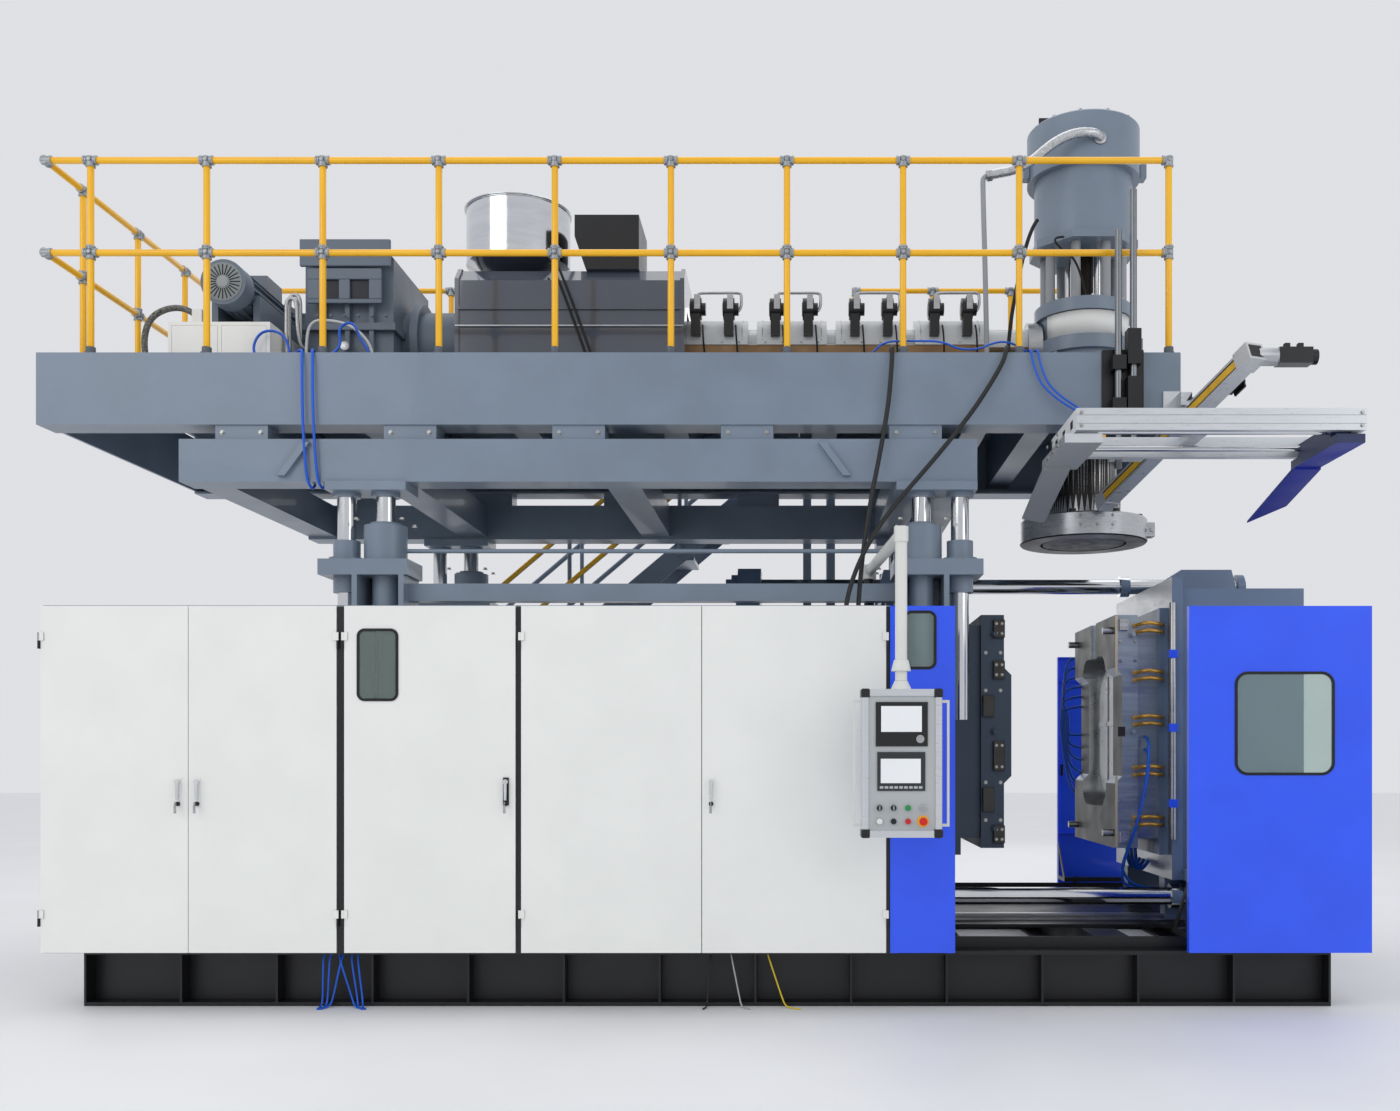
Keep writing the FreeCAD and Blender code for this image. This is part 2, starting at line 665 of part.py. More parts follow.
def switchgear():
    """Mounting plate with ducts, breakers, drives and contactors behind doors 4 and 5."""
    left, right = bay_edges()[2]
    back = cabinet_back() - 45
    plate_left = left + 70
    plate_right = right - 90
    bottom = BEAM_HEIGHT + 130
    top = CABINET_TOP - 130
    solids = [block(plate_left, plate_right, back, back + 3, bottom, top)]
    for x in (plate_left + 40, plate_right - 40):
        solids.append(block(x - 15, x + 15, back + 3, back + 45, bottom + 60, top - 60))
    rows = 5
    pitch = (top - bottom - 60) / rows
    for row in range(rows + 1):
        z = bottom + row * pitch
        solids.append(block(plate_left + 20, plate_right - 20, back - 60, back, z, z + 50))
    for row in range(rows):
        z = bottom + row * pitch + 90
        count = 4 + (row * 3) % 5
        step = (plate_right - plate_left - 160) / count
        height = 110 if row % 2 else 150
        for unit in range(count):
            x = plate_left + 80 + unit * step
            solids.append(block(x, x + step * 0.78, back - 70 - 12 * row, back, z, z + height))
    return solids


# ---- guards ----------------------------------------------------------------------------
def centre_guard_edges():
    left = cabinet_right()
    return left, left + CENTRE_GUARD_WIDTH


def centre_guards():
    """Fixed blue panels beside the clamp opening, front and back, with their windows."""
    left, right = centre_guard_edges()

    def panel():
        sheet = block(left, right, FRONT, FRONT + DOOR_THICK, DOOR_BOTTOM, CABINET_TOP)
        sheet = sheet.cut(block(left + SHEET, right - SHEET, FRONT + SHEET,
                                FRONT + DOOR_THICK + 1, DOOR_BOTTOM + SHEET,
                                CABINET_TOP - SHEET))
        hole = window(left + 78, FRONT, CABINET_TOP - CENTRE_WINDOW_TOP, CENTRE_WINDOW,
                      SHEET)[0]
        return sheet.cut(hole)

    def gasket():
        return window(left + 78, FRONT, CABINET_TOP - CENTRE_WINDOW_TOP, CENTRE_WINDOW,
                      SHEET)[1]

    def pane():
        return window(left + 78, FRONT, CABINET_TOP - CENTRE_WINDOW_TOP, CENTRE_WINDOW,
                      SHEET)[2]

    def post(x):
        return block(x, x + POST, FRONT + DOOR_THICK, FRONT + DOOR_THICK + 130,
                     BEAM_HEIGHT, CABINET_TOP - 40)

    solids = both_sides(panel) + both_sides(gasket) + both_sides(pane)
    solids += both_sides(lambda: post(left + 4)) + both_sides(lambda: post(right - POST - 4))
    return solids


def gate():
    """Front sliding gate: folded sheet, window, braced foot and rollers."""
    top = CABINET_TOP
    back = FRONT + GATE_THICK
    leaf = block(GATE_LEFT, GATE_RIGHT, FRONT, back, DOOR_BOTTOM, top)
    leaf = leaf.cut(block(GATE_LEFT + GATE_SHEET, GATE_RIGHT - GATE_SHEET,
                          FRONT + GATE_SHEET, back + 1, DOOR_BOTTOM + GATE_SHEET,
                          top - GATE_SHEET))
    window_left = GATE_LEFT + 244
    hole, gasket, pane = window(window_left, FRONT, top - GATE_WINDOW_TOP, GATE_WINDOW,
                                GATE_SHEET)
    leaf = leaf.cut(hole)
    stiffeners = [block(GATE_LEFT + GATE_SHEET, GATE_RIGHT - GATE_SHEET,
                        FRONT + GATE_SHEET, back - 8, z, z + 4)
                  for z in (DOOR_BOTTOM + 420, top - 190)]
    leaf = leaf.fuse(stiffeners).removeSplitter()
    axle_z = BEAM_HEIGHT + GATE_RAIL_HEIGHT + ROLLER_RADIUS + CLEAR
    foot_z = axle_z - 12
    braces = []
    for x in (GATE_LEFT, GATE_RIGHT - 6):
        plate = prism_x([(back, foot_z), (back + GATE_BRACE_REACH, foot_z),
                         (back + GATE_BRACE_REACH, foot_z + 30),
                         (back, foot_z + GATE_BRACE_HEIGHT)], x, x + 6)
        opening = prism_x([(back + 30, foot_z + 30),
                           (back + GATE_BRACE_REACH - 60, foot_z + 30),
                           (back + 30, foot_z + GATE_BRACE_HEIGHT - 70)], x - 1, x + 7)
        braces.append(plate.cut(opening))
    carrier = block(GATE_LEFT + 6, GATE_RIGHT - 6, back + 150, back + GATE_BRACE_REACH,
                    foot_z, foot_z + 30)
    y = gate_rail_y() + 4
    for x in (GATE_LEFT + 90, GATE_RIGHT - 90):
        reach = ROLLER_RADIUS + 4
        carrier = carrier.cut(block(x - reach, x + reach, y - 13, y + 13, foot_z - 1,
                                    foot_z + 31))
        carrier = carrier.fuse([rod_y(x, y - 10, y + 10, axle_z, ROLLER_RADIUS),
                                rod_y(x, y - 30, y + 30, axle_z, 7)])
    return [leaf, gasket, pane] + braces + [carrier.removeSplitter()]


def gate_rail_y():
    """Front face of the upright leg of the gate's rail."""
    return FRONT + GATE_THICK + 190


def bed_rails():
    """Angle rails of the two gates and the linear rails of the platens."""
    x0 = centre_guard_edges()[1] - 60
    x1 = min(GATE_RIGHT - 20, BASE_LENGTH / 2 + 150)

    def angle():
        y = gate_rail_y()
        upright = block(x0, x1, y, y + 8, BEAM_HEIGHT, BEAM_HEIGHT + GATE_RAIL_HEIGHT)
        foot = block(x0, x1, y + 8, y + 58, BEAM_HEIGHT, BEAM_HEIGHT + 8)
        return upright.fuse(foot).removeSplitter()

    solids = both_sides(angle)
    for y in (-LINEAR_RAIL_Y, LINEAR_RAIL_Y):
        half = LINEAR_RAIL_WIDTH / 2
        low, high = BED_TOP, RAIL_TOP
        outline = [(y - half, low), (y + half, low), (y + half, low + 12),
                   (y + half - 9, low + 20), (y + half, low + 28), (y + half, high),
                   (y - half, high), (y - half, low + 28), (y - half + 9, low + 20),
                   (y - half, low + 12)]
        solids.append(prism_x(outline, TAIL_X - 370, BASE_LENGTH / 2 - 10))
    return solids


# ---- lifting columns ---------------------------------------------------------------------
def column_places():
    """(cylinder x, guide rod x) of the left and right columns."""
    return ((LEFT_CYLINDER_X, LEFT_CYLINDER_X - GUIDE_OFFSET),
            (RIGHT_CYLINDER_X, RIGHT_CYLINDER_X + GUIDE_OFFSET))


def lift_columns():
    """Column posts, head plates, guide sleeves, cylinders and the beams that tie them."""
    solids = []
    for cylinder_x, guide_x in column_places():
        side = 1 if guide_x > cylinder_x else -1
        solids += both_sides(lambda: column_post(cylinder_x))
        solids += both_sides(lambda: head_plate(cylinder_x, guide_x, side))
        solids += both_sides(lambda: guide_sleeve(guide_x))
        solids += both_sides(lambda: lift_cylinder(cylinder_x))
    half = COLUMN_WIDTH / 2
    left = LEFT_CYLINDER_X + half
    right = RIGHT_CYLINDER_X - half
    solids += both_sides(lambda: block(left, right, -COLUMN_Y - 50, -COLUMN_Y + 50,
                                       TIE_BEAM_BOTTOM, TIE_BEAM_BOTTOM + TIE_BEAM_HEIGHT))
    pipe_z_level = CYLINDER_HEAD_TOP - 140
    solids += both_sides(lambda: rod_x(LEFT_CYLINDER_X + CYLINDER_HEAD_RADIUS - 3,
                                       RIGHT_CYLINDER_X - CYLINDER_HEAD_RADIUS + 3,
                                       -COLUMN_Y, pipe_z_level, 12.5)
                         .cut([rod_z(x, -COLUMN_Y, 0, CYLINDER_HEAD_TOP,
                                     CYLINDER_HEAD_RADIUS)
                               for x in (LEFT_CYLINDER_X, RIGHT_CYLINDER_X)]))
    return solids


def column_post(x):
    """Upright channel: two flanges and a back web, on a foot plate."""
    half = COLUMN_WIDTH / 2
    y0 = -COLUMN_Y - COLUMN_DEPTH / 2
    y1 = -COLUMN_Y + COLUMN_DEPTH / 2
    foot = BEAM_HEIGHT + COLUMN_PLATE
    pieces = [block(x - half, x - half + COLUMN_PLATE, y0, y1, foot, HEAD_PLATE_BOTTOM),
              block(x + half - COLUMN_PLATE, x + half, y0, y1, foot, HEAD_PLATE_BOTTOM),
              block(x - half + COLUMN_PLATE, x + half - COLUMN_PLATE, y1 - COLUMN_PLATE,
                    y1, foot, HEAD_PLATE_BOTTOM)]
    base = block(x - half - 40, x + half + 40, y0 - 20, y1 + 20, BEAM_HEIGHT, foot)
    return base.fuse(pieces).removeSplitter()


def head_plate(cylinder_x, guide_x, side):
    """Thick plate that joins a cylinder and its guide sleeve."""
    inner = cylinder_x - side * 168
    outer = guide_x + side * 116
    plate = block(min(inner, outer), max(inner, outer), -COLUMN_Y - 150, -COLUMN_Y + 150,
                  HEAD_PLATE_BOTTOM, HEAD_PLATE_TOP)
    return plate.cut([rod_z(cylinder_x, -COLUMN_Y, HEAD_PLATE_BOTTOM - 1,
                            HEAD_PLATE_TOP + 1, CYLINDER_TUBE_RADIUS),
                      rod_z(guide_x, -COLUMN_Y, HEAD_PLATE_BOTTOM - 1, HEAD_PLATE_TOP + 1,
                            SLEEVE_RADIUS)])


def guide_sleeve(x):
    """Flanged bush through the head plate."""
    body = rod_z(x, -COLUMN_Y, SLEEVE_BOTTOM, SLEEVE_TOP, SLEEVE_RADIUS)
    collar = rod_z(x, -COLUMN_Y, HEAD_PLATE_TOP, HEAD_PLATE_TOP + 22, SLEEVE_RADIUS + 24)
    bore = rod_z(x, -COLUMN_Y, SLEEVE_BOTTOM - 1, SLEEVE_TOP + 1, GUIDE_RADIUS + RUNNING)
    return body.fuse(collar).cut(bore)


def lift_cylinder(x):
    """Hydraulic cylinder: wide head above the plate, tube below it."""
    head = rod_z(x, -COLUMN_Y, HEAD_PLATE_TOP, CYLINDER_HEAD_TOP, CYLINDER_HEAD_RADIUS)
    tube = rod_z(x, -COLUMN_Y, CYLINDER_TUBE_BOTTOM, HEAD_PLATE_TOP, CYLINDER_TUBE_RADIUS)
    gland = rod_z(x, -COLUMN_Y, CYLINDER_HEAD_TOP, CYLINDER_HEAD_TOP + 18,
                  CYLINDER_HEAD_RADIUS - 35)
    bore = rod_z(x, -COLUMN_Y, CYLINDER_TUBE_BOTTOM + 40, CYLINDER_HEAD_TOP + 20,
                 PISTON_RADIUS + RUNNING)
    return head.fuse([tube, gland]).cut(bore).removeSplitter()


def lift_frame():
    """Box-beam frame with cross beams, rod plates, brackets and slide pads."""
    y0 = -COLUMN_Y - LIFT_BEAM_WIDTH / 2
    y1 = -COLUMN_Y + LIFT_BEAM_WIDTH / 2
    solids = both_sides(lambda: block(LIFT_LEFT, LIFT_RIGHT, y0, y1, LIFT_BOTTOM, LIFT_TOP))
    cross = (LIFT_LEFT, LEFT_CYLINDER_X - 60, -650.0, RIGHT_CYLINDER_X - 160,
             LIFT_RIGHT - LIFT_BEAM_WIDTH)
    for x in cross:
        solids.append(block(x, x + LIFT_BEAM_WIDTH, y1, -y1, LIFT_BOTTOM + 20, LIFT_TOP - 10))
    for cylinder_x, guide_x in column_places():
        side = 1 if guide_x > cylinder_x else -1
        inner = cylinder_x - side * 150
        outer = guide_x + side * 85
        solids += both_sides(lambda: block(min(inner, outer), max(inner, outer),
                                           -COLUMN_Y - 125, -COLUMN_Y + 125,
                                           LIFT_BOTTOM - ROD_PLATE_THICK, LIFT_BOTTOM))
    for x in (LIFT_LEFT + 640, RIGHT_CYLINDER_X - 480):
        for mirror in (1, -1):
            lean = 70 * mirror if x > 0 else 70
            outline = [(x - lean, LIFT_BOTTOM + 30), (x - lean + 45, LIFT_BOTTOM + 30),
                       (x + lean + 45, LIFT_TOP - 25), (x + lean, LIFT_TOP - 25)]
            if x > 0:
                outline = [(2 * x - a, b) for a, b in outline]
                outline.reverse()
            if mirror == 1:
                solids.append(prism_y(outline, y0 - 30, y0))
    outer = min(y0 + 20, DECK_FRONT + RUNNER_INSET)
    inner = max(y1 - 20, DECK_FRONT + RUNNER_INSET + RUNNER_WIDTH)
    for x in runner_places():
        solids += both_sides(lambda: block(x - 150, x + 150, outer, inner, LIFT_TOP,
                                           DECK_BOTTOM))
    return solids


def runner_places():
    """Centres of the slide pads that carry the deck."""
    span = LIFT_RIGHT - LIFT_LEFT - 700
    return [LIFT_LEFT + 350 + span * step / 4 for step in range(5)]


def lift_rods():
    """Chromed piston and guide rods with their top collars."""
    solids = []
    top = LIFT_BOTTOM - ROD_PLATE_THICK
    for cylinder_x, guide_x in column_places():
        for x, radius, bottom in ((cylinder_x, PISTON_RADIUS, CYLINDER_TUBE_BOTTOM + 480),
                                  (guide_x, GUIDE_RADIUS, GUIDE_BOTTOM)):
            solids += both_sides(lambda: rod_z(x, -COLUMN_Y, bottom, top, radius)
                                 .fuse(rod_z(x, -COLUMN_Y, top - 22, top, radius + 26)))
    return solids


# ---- deck -------------------------------------------------------------------------------
def deck_channel():
    """Front side beam of the deck: a channel whose flanges point inwards."""
    y0 = DECK_FRONT
    y1 = DECK_FRONT + DECK_FLANGE
    web = DECK_FRONT + DECK_PLATE
    outline = [(y0, DECK_BOTTOM), (y1, DECK_BOTTOM), (y1, DECK_BOTTOM + DECK_PLATE),
               (web, DECK_BOTTOM + DECK_PLATE), (web, DECK_TOP - DECK_PLATE),
               (y1, DECK_TOP - DECK_PLATE), (y1, DECK_TOP), (y0, DECK_TOP)]
    return prism_x(outline, DECK_LEFT, DECK_RIGHT)


def deck_frame():
    """Side channels, end plates, cross beams and the floor plates."""
    solids = both_sides(deck_channel)
    web = DECK_FRONT + DECK_PLATE
    low = DECK_BOTTOM + DECK_PLATE
    high = DECK_TOP - DECK_PLATE
    for x in (DECK_LEFT, DECK_RIGHT - DECK_PLATE):
        solids.append(block(x, x + DECK_PLATE, web, -web, low, high))
    crosses = [DECK_LEFT + 800 + step * 910 for step in range(6)]
    for x in crosses + [HEAD_X - HEAD_BODY_RADIUS - 190]:
        solids.append(block(x, x + 150, web, -web, low + 60, high))
    hole = rod_z(HEAD_X, 0, DECK_TOP - 1, FLOOR + 1, HEAD_BODY_RADIUS + 12)
    seams = [DECK_LEFT, DECK_LEFT + 2180, DECK_LEFT + 4360, DECK_RIGHT]
    for x0, x1 in zip(seams, seams[1:]):
        plate = block(x0, x1 - 1.5, DECK_FRONT, -DECK_FRONT, DECK_TOP, FLOOR)
        if x1 > HEAD_X:
            plate = plate.cut(hole)
        solids.append(plate)
    return solids


def rail_y():
    """Centre line of the front guard rail."""
    return DECK_FRONT + CLAMP_RADIUS + 3


def front_post_places():
    places = [DECK_LEFT + FRONT_POST_FIRST + FRONT_POST_PITCH * step
              for step in range(FRONT_POST_COUNT)]
    return places + [DECK_RIGHT - 60]


def side_rail_x():
    return DECK_LEFT + CLAMP_RADIUS + 10


def rail_runs():
    """Ends of every straight rail: front, left side, and the two rear stretches."""
    front = rail_y()
    left = side_rail_x()
    right = DECK_RIGHT - 60
    runs = []
    for height in (TOP_RAIL_HEIGHT, MID_RAIL_HEIGHT):
        z = FLOOR + height
        runs.append(((left, front, z), (right, front, z)))
        runs.append(((left, front, z), (left, -front, z)))
        runs.append(((left, -front, z), (REAR_GATE_LEFT, -front, z)))
        runs.append(((REAR_GATE_RIGHT, -front, z), (right, -front, z)))
    return runs


def post_places():
    """(x, y) of every post of the guard rail."""
    front = rail_y()
    left = side_rail_x()
    right = DECK_RIGHT - 60
    places = [(x, front) for x in front_post_places()]
    places += [(left, y) for y in (-650.0, 0.0, 650.0)]
    span = REAR_GATE_LEFT - left - FRONT_POST_FIRST
    places += [(left + FRONT_POST_FIRST + span * step / 4, -front) for step in range(5)]
    span = right - REAR_GATE_RIGHT
    places += [(REAR_GATE_RIGHT + span * step / 3, -front) for step in range(4)]
    return places


def clamp_points():
    """(point, directions of the tubes that meet there)."""
    front = rail_y()
    left = side_rail_x()
    points = []
    for x, y in post_places():
        along = V(0, 1, 0) if abs(x - left) < 1 else V(1, 0, 0)
        ends = abs(x - REAR_GATE_LEFT) < 1 or abs(x - REAR_GATE_RIGHT) < 1
        ends = ends or abs(x - (DECK_RIGHT - 60)) < 1
        for height in (TOP_RAIL_HEIGHT, MID_RAIL_HEIGHT):
            arms = [V(0, 0, -1)]
            if height == MID_RAIL_HEIGHT:
                arms.append(V(0, 0, 1))
            if not ends or abs(x - REAR_GATE_RIGHT) < 1:
                arms.append(along)
            if not ends or abs(x - REAR_GATE_RIGHT) >= 1:
                arms.append(along * -1)
            points.append((V(x, y, FLOOR + height), arms))
    for y in (front, -front):
        inward = V(0, 1, 0) if y < 0 else V(0, -1, 0)
        for height in (TOP_RAIL_HEIGHT, MID_RAIL_HEIGHT):
            points.append((V(left, y, FLOOR + height), [V(1, 0, 0), inward]))
    return points


def rail_clamp(point, arms):
    """Cast fitting: a stub for each tube, joined at the crossing."""
    half = CLAMP_RADIUS - 3
    body = Part.makeBox(2 * half, 2 * half, 2 * half, point - V(half, half, half))
    for arm in arms:
        wide = V(half - 3, half - 3, half - 3)
        side = V(wide.x * (1 - abs(arm.x)), wide.y * (1 - abs(arm.y)),
                 wide.z * (1 - abs(arm.z)))
        corners = sorted([point - side, point + side + arm * CLAMP_REACH],
                         key=lambda c: c.x + c.y + c.z)
        low = V(*[min(corners[0][k], corners[1][k]) for k in range(3)])
        high = V(*[max(corners[0][k], corners[1][k]) for k in range(3)])
        body = body.fuse(Part.makeBox(high.x - low.x, high.y - low.y, high.z - low.z, low))
    return body.removeSplitter()


def guard_rails():
    """Tubes cut to length: each one ends at the faces of its fittings."""
    solids = []
    points = clamp_points()
    for start, end in rail_runs():
        a = V(*start)
        b = V(*end)
        along = (b - a).normalize()
        stops = sorted(((p - a).dot(along) for p, _ in points
                        if (p - a).cross(along).Length < 1
                        and -1 < (p - a).dot(along) < (b - a).Length + 1))
        for s0, s1 in zip(stops, stops[1:]):
            if s1 - s0 > 2 * CLAMP_REACH:
                solids.append(bar_between(a + along * (s0 + CLAMP_REACH),
                                          a + along * (s1 - CLAMP_REACH), RAIL_RADIUS))
    for x, y in post_places():
        low = FLOOR
        for height in (MID_RAIL_HEIGHT, TOP_RAIL_HEIGHT):
            high = FLOOR + height
            solids.append(bar_z(x, y, low + CLAMP_REACH, high - CLAMP_REACH, RAIL_RADIUS))
            low = high
    return solids


def rail_clamps():
    """Fittings at the crossings and the round feet of the posts."""
    solids = []
    for point, arms in clamp_points():
        solids.append(rail_clamp(point, arms))
    for x, y in post_places():
        solids.append(bar_z(x, y, FLOOR, FLOOR + CLAMP_REACH, CLAMP_RADIUS))
    return solids


# ---- rear stair --------------------------------------------------------------------------
def stair_inner_y():
    return -DECK_FRONT + STAIR_GAP


def rear_stair():
    """Stringers, treads, landing, legs and the tube handrails."""
    y0 = stair_inner_y()
    y1 = y0 + STAIR_WIDTH
    top = FLOOR
    foot_x = STAIR_TOP_X - top / STAIR_SLOPE
    land_x = REAR_GATE_RIGHT + 70
    solids = []
    depth = 120.0
    outline = [(foot_x - 120, 0), (foot_x + depth / STAIR_SLOPE, 0),
               (STAIR_TOP_X + 20, top - depth), (land_x, top - depth), (land_x, top),
               (STAIR_TOP_X - 60, top)]
    for y in (y0, y1 - 8):
        solids.append(prism_y(outline, y, y + 8))
    rise = top / (STAIR_TREADS + 1)
    for step in range(1, STAIR_TREADS + 1):
        z = step * rise
        x = foot_x + z / STAIR_SLOPE - 60
        solids.append(block(x, x + 230, y0 + 8, y1 - 8, z - 34, z - 4))
    solids.append(block(STAIR_TOP_X - 30, land_x, y0 + 8, y1 - 8, top - 34, top - 4))
    far_leg = base_beam_positions()[4] - BEAM_WIDTH / 2 - 70
    outer_y = -BASE_FRONT - BEAM_WIDTH / 2 - 30
    inner_foot = BEAM_HEIGHT if y0 + 68 > -BASE_FRONT - BEAM_WIDTH else 0
    for x in (STAIR_TOP_X + 40, far_leg):
        solids.append(block(x, x + 60, y0 + 8, y0 + 68, inner_foot, top - 34))
        solids.append(block(x, x + 60, outer_y, outer_y + 60, BEAM_HEIGHT, top - 34))
    for y in (y0 - RAIL_RADIUS + 3, y1 + RAIL_RADIUS - 3):
        solids += handrail(foot_x, land_x, y)
    return solids


def handrail(foot_x, land_x, y):
    """Posts of one side of the stair with the sloping and level tubes along them."""
    pieces = []
    count = 5
    span = STAIR_TOP_X - 60 - foot_x
    outer = y > stair_inner_y() + STAIR_WIDTH / 2
    rail = y + (2 * RAIL_RADIUS - 3) * (1 if outer else -1)
    ends = []
    for index in range(count + 1):
        x = foot_x + 100 + (span - 100) * index / count
        z = (x - foot_x) * STAIR_SLOPE
        ends.append((x, z))
        pieces.append(bar_z(x, y, max(z - 60, 0), z + STAIR_HANDRAIL, RAIL_RADIUS - 3))
    (xa, za), (xb, zb) = ends[0], ends[-1]
    for height in (STAIR_HANDRAIL - 20, STAIR_HANDRAIL / 2):
        pieces.append(bar_between((xa - 60, rail, za + height - 60 * STAIR_SLOPE),
                                  (xb, rail, zb + height), RAIL_RADIUS))
        if outer:
            pieces.append(bar_between((xb + RAIL_RADIUS * 1.2, rail, zb + height),
                                      (land_x, rail, zb + height), RAIL_RADIUS))
    if outer:
        pieces.append(bar_z(land_x - 30, y, FLOOR - 60, zb + STAIR_HANDRAIL,
                            RAIL_RADIUS - 3))
    return pieces


# ---- extruder -------------------------------------------------------------------------------
def gearbox():
    """Cast housing with its split flange, ribs, cover plates and feet."""
    x0, x1 = -2600.0, -2050.0
    body = block(x0, x1, -380, 380, FLOOR + 40, 4520)
    edges = [e for e in body.Edges if abs(e.tangentAt(e.FirstParameter).y) > 0.99
             and e.CenterOfMass.z > 4500]
    body = body.makeChamfer(90, edges)
    split = block(x0 - 25, x1 + 25, -430, 430, SCREW_AXIS - 22, SCREW_AXIS + 22)
    feet = block(x0 - 40, x1 + 40, -430, 430, FLOOR, FLOOR + 40)
    ribs = []
    for x in (x0 + 110, x0 + 260, x0 + 410):
        ribs.append(block(x, x + 28, -420, 420, FLOOR + 40, 4360))
    cover = rod_y(x0 + 270, -440, -380, 4240, 95)
    body = body.fuse([split, feet, cover] + ribs)
    coupling = rod_x(x1, COVER_LEFT, 0, SCREW_AXIS, 215)
    ring = rod_x(x1 + 60, x1 + 110, 0, SCREW_AXIS, 262)
    return [body.removeSplitter(), coupling.fuse(ring).cut(body)]


def drive_motor():
    """Upright-mounted motor across the deck, with fins, fan hood and terminal box."""
    x, z = -3036.0, 4218.0
    body = rod_y(x, -430, 330, z, 118)
    solids = [body]
    fins = []
    for turn in range(16):
        fin = block(x - 2.5, x + 2.5, -400, 300, z + 112, z + 137)
        fin.rotate(V(x, 0, z), V(0, 1, 0), turn * 22.5)
        fins.append(fin)
    hood = rod_y(x, -560, -430, z, 138)
    flange = rod_y(x, 330, 356, z, 170)
    box = block(x - 90, x + 90, -120, 120, z + 100, z + 200)
    solids = [body.fuse(fins + [hood, flange, box])]
    pulley = rod_y(x, 356, 420, z, 95)
    cradle = [block(x - 150, x - 110, -380, 280, FLOOR + 300, z - 20),
              block(x + 110, x + 150, -380, 280, FLOOR + 300, z - 20)]
    guard = block(x - 130, -2625, 356, 440, SCREW_AXIS - 60, z + 120)
    return solids + [guard.fuse(pulley)] + [c.cut(body.fuse(fins)) for c in cradle]


def service_box():
    """White cupboard under the motor."""
    x0, x1 = -3304.0, -2692.0
    body = block(x0, x1, -700, 420, FLOOR, FLOOR + 300)
    gaps = [block(x0 + 20, x0 + 300, -702, -696, FLOOR + 20, FLOOR + 280),
            block(x1 - 292, x1 - 20, -702, -696, FLOOR + 20, FLOOR + 280)]
    body = body.cut([g.cut(block(g.BoundBox.XMin + 4, g.BoundBox.XMax - 4, -710, -690,
                                 FLOOR + 24, FLOOR + 276)) for g in gaps])
    return [body]


def screw_bore_end():
    return HEAD_X - HEAD_BODY_RADIUS


def heated_barrel():
    """Barrel with its heater half-shells, the trough below and the flange at the head."""
    end = screw_bore_end() + 2
    barrel = rod_x(COVER_LEFT, end, 0, SCREW_AXIS, BARREL_RADIUS)
    head_round = rod_z(HEAD_X, 0, SCREW_AXIS - 400, SCREW_AXIS + 400,
                       HEAD_BODY_RADIUS + CLEAR)
    flange = rod_x(end - 90, end, 0, SCREW_AXIS, BARREL_RADIUS + 40)
    collar = rod_z(HEAD_X, 0, SCREW_AXIS - 95, SCREW_AXIS - 4, HEAD_BODY_RADIUS + 34)
    barrel = barrel.fuse(flange).cut([head_round, collar])
    solids = [barrel.removeSplitter()]
    for index in range(SHELL_COUNT):
        x = FIRST_SHELL_X + index * SHELL_PITCH - SHELL_LENGTH / 2
        shell = rod_x(x, x + SHELL_LENGTH, 0, SCREW_AXIS, SHELL_RADIUS)
        shell = shell.cut(block(x - 1, x + SHELL_LENGTH + 1, -SHELL_RADIUS, SHELL_RADIUS,
                                SCREW_AXIS - SHELL_RADIUS, SCREW_AXIS - 30))
        skirt = block(x, x + SHELL_LENGTH, -SHELL_RADIUS, -SHELL_RADIUS + 4,
                      SCREW_AXIS - 30, SCREW_AXIS)
        shell = shell.fuse(skirt).cut(rod_x(x - 1, x + SHELL_LENGTH + 1, 0, SCREW_AXIS,
                                            BARREL_RADIUS + CLEAR))
        solids.append(shell.removeSplitter())
    first = FIRST_SHELL_X - SHELL_LENGTH / 2
    last = first + (SHELL_COUNT - 1) * SHELL_PITCH + SHELL_LENGTH
    for index in range(SHELL_COUNT + 1):
        x = first + 20 + (last - first - 90) * index / SHELL_COUNT
        stand = block(x, x + 50, -130, 130, FLOOR, SCREW_AXIS - 60)
        solids.append(stand.cut(barrel))
    for side in (-1, 1):
        y = side * 150
        solids.append(block(first, last, y - 8, y + 8, FLOOR, SCREW_AXIS - 31))
    return solids


def cover_outline(inset):
    """Section of the barrel cover: (y, z) with chamfered shoulders."""
    half = COVER_HALF_WIDTH - inset
    top = COVER_TOP - inset
    return [(-half, FLOOR), (half, FLOOR), (half, top - 90), (half - 90, top),
            (-half + 90, top), (-half, top - 90)]


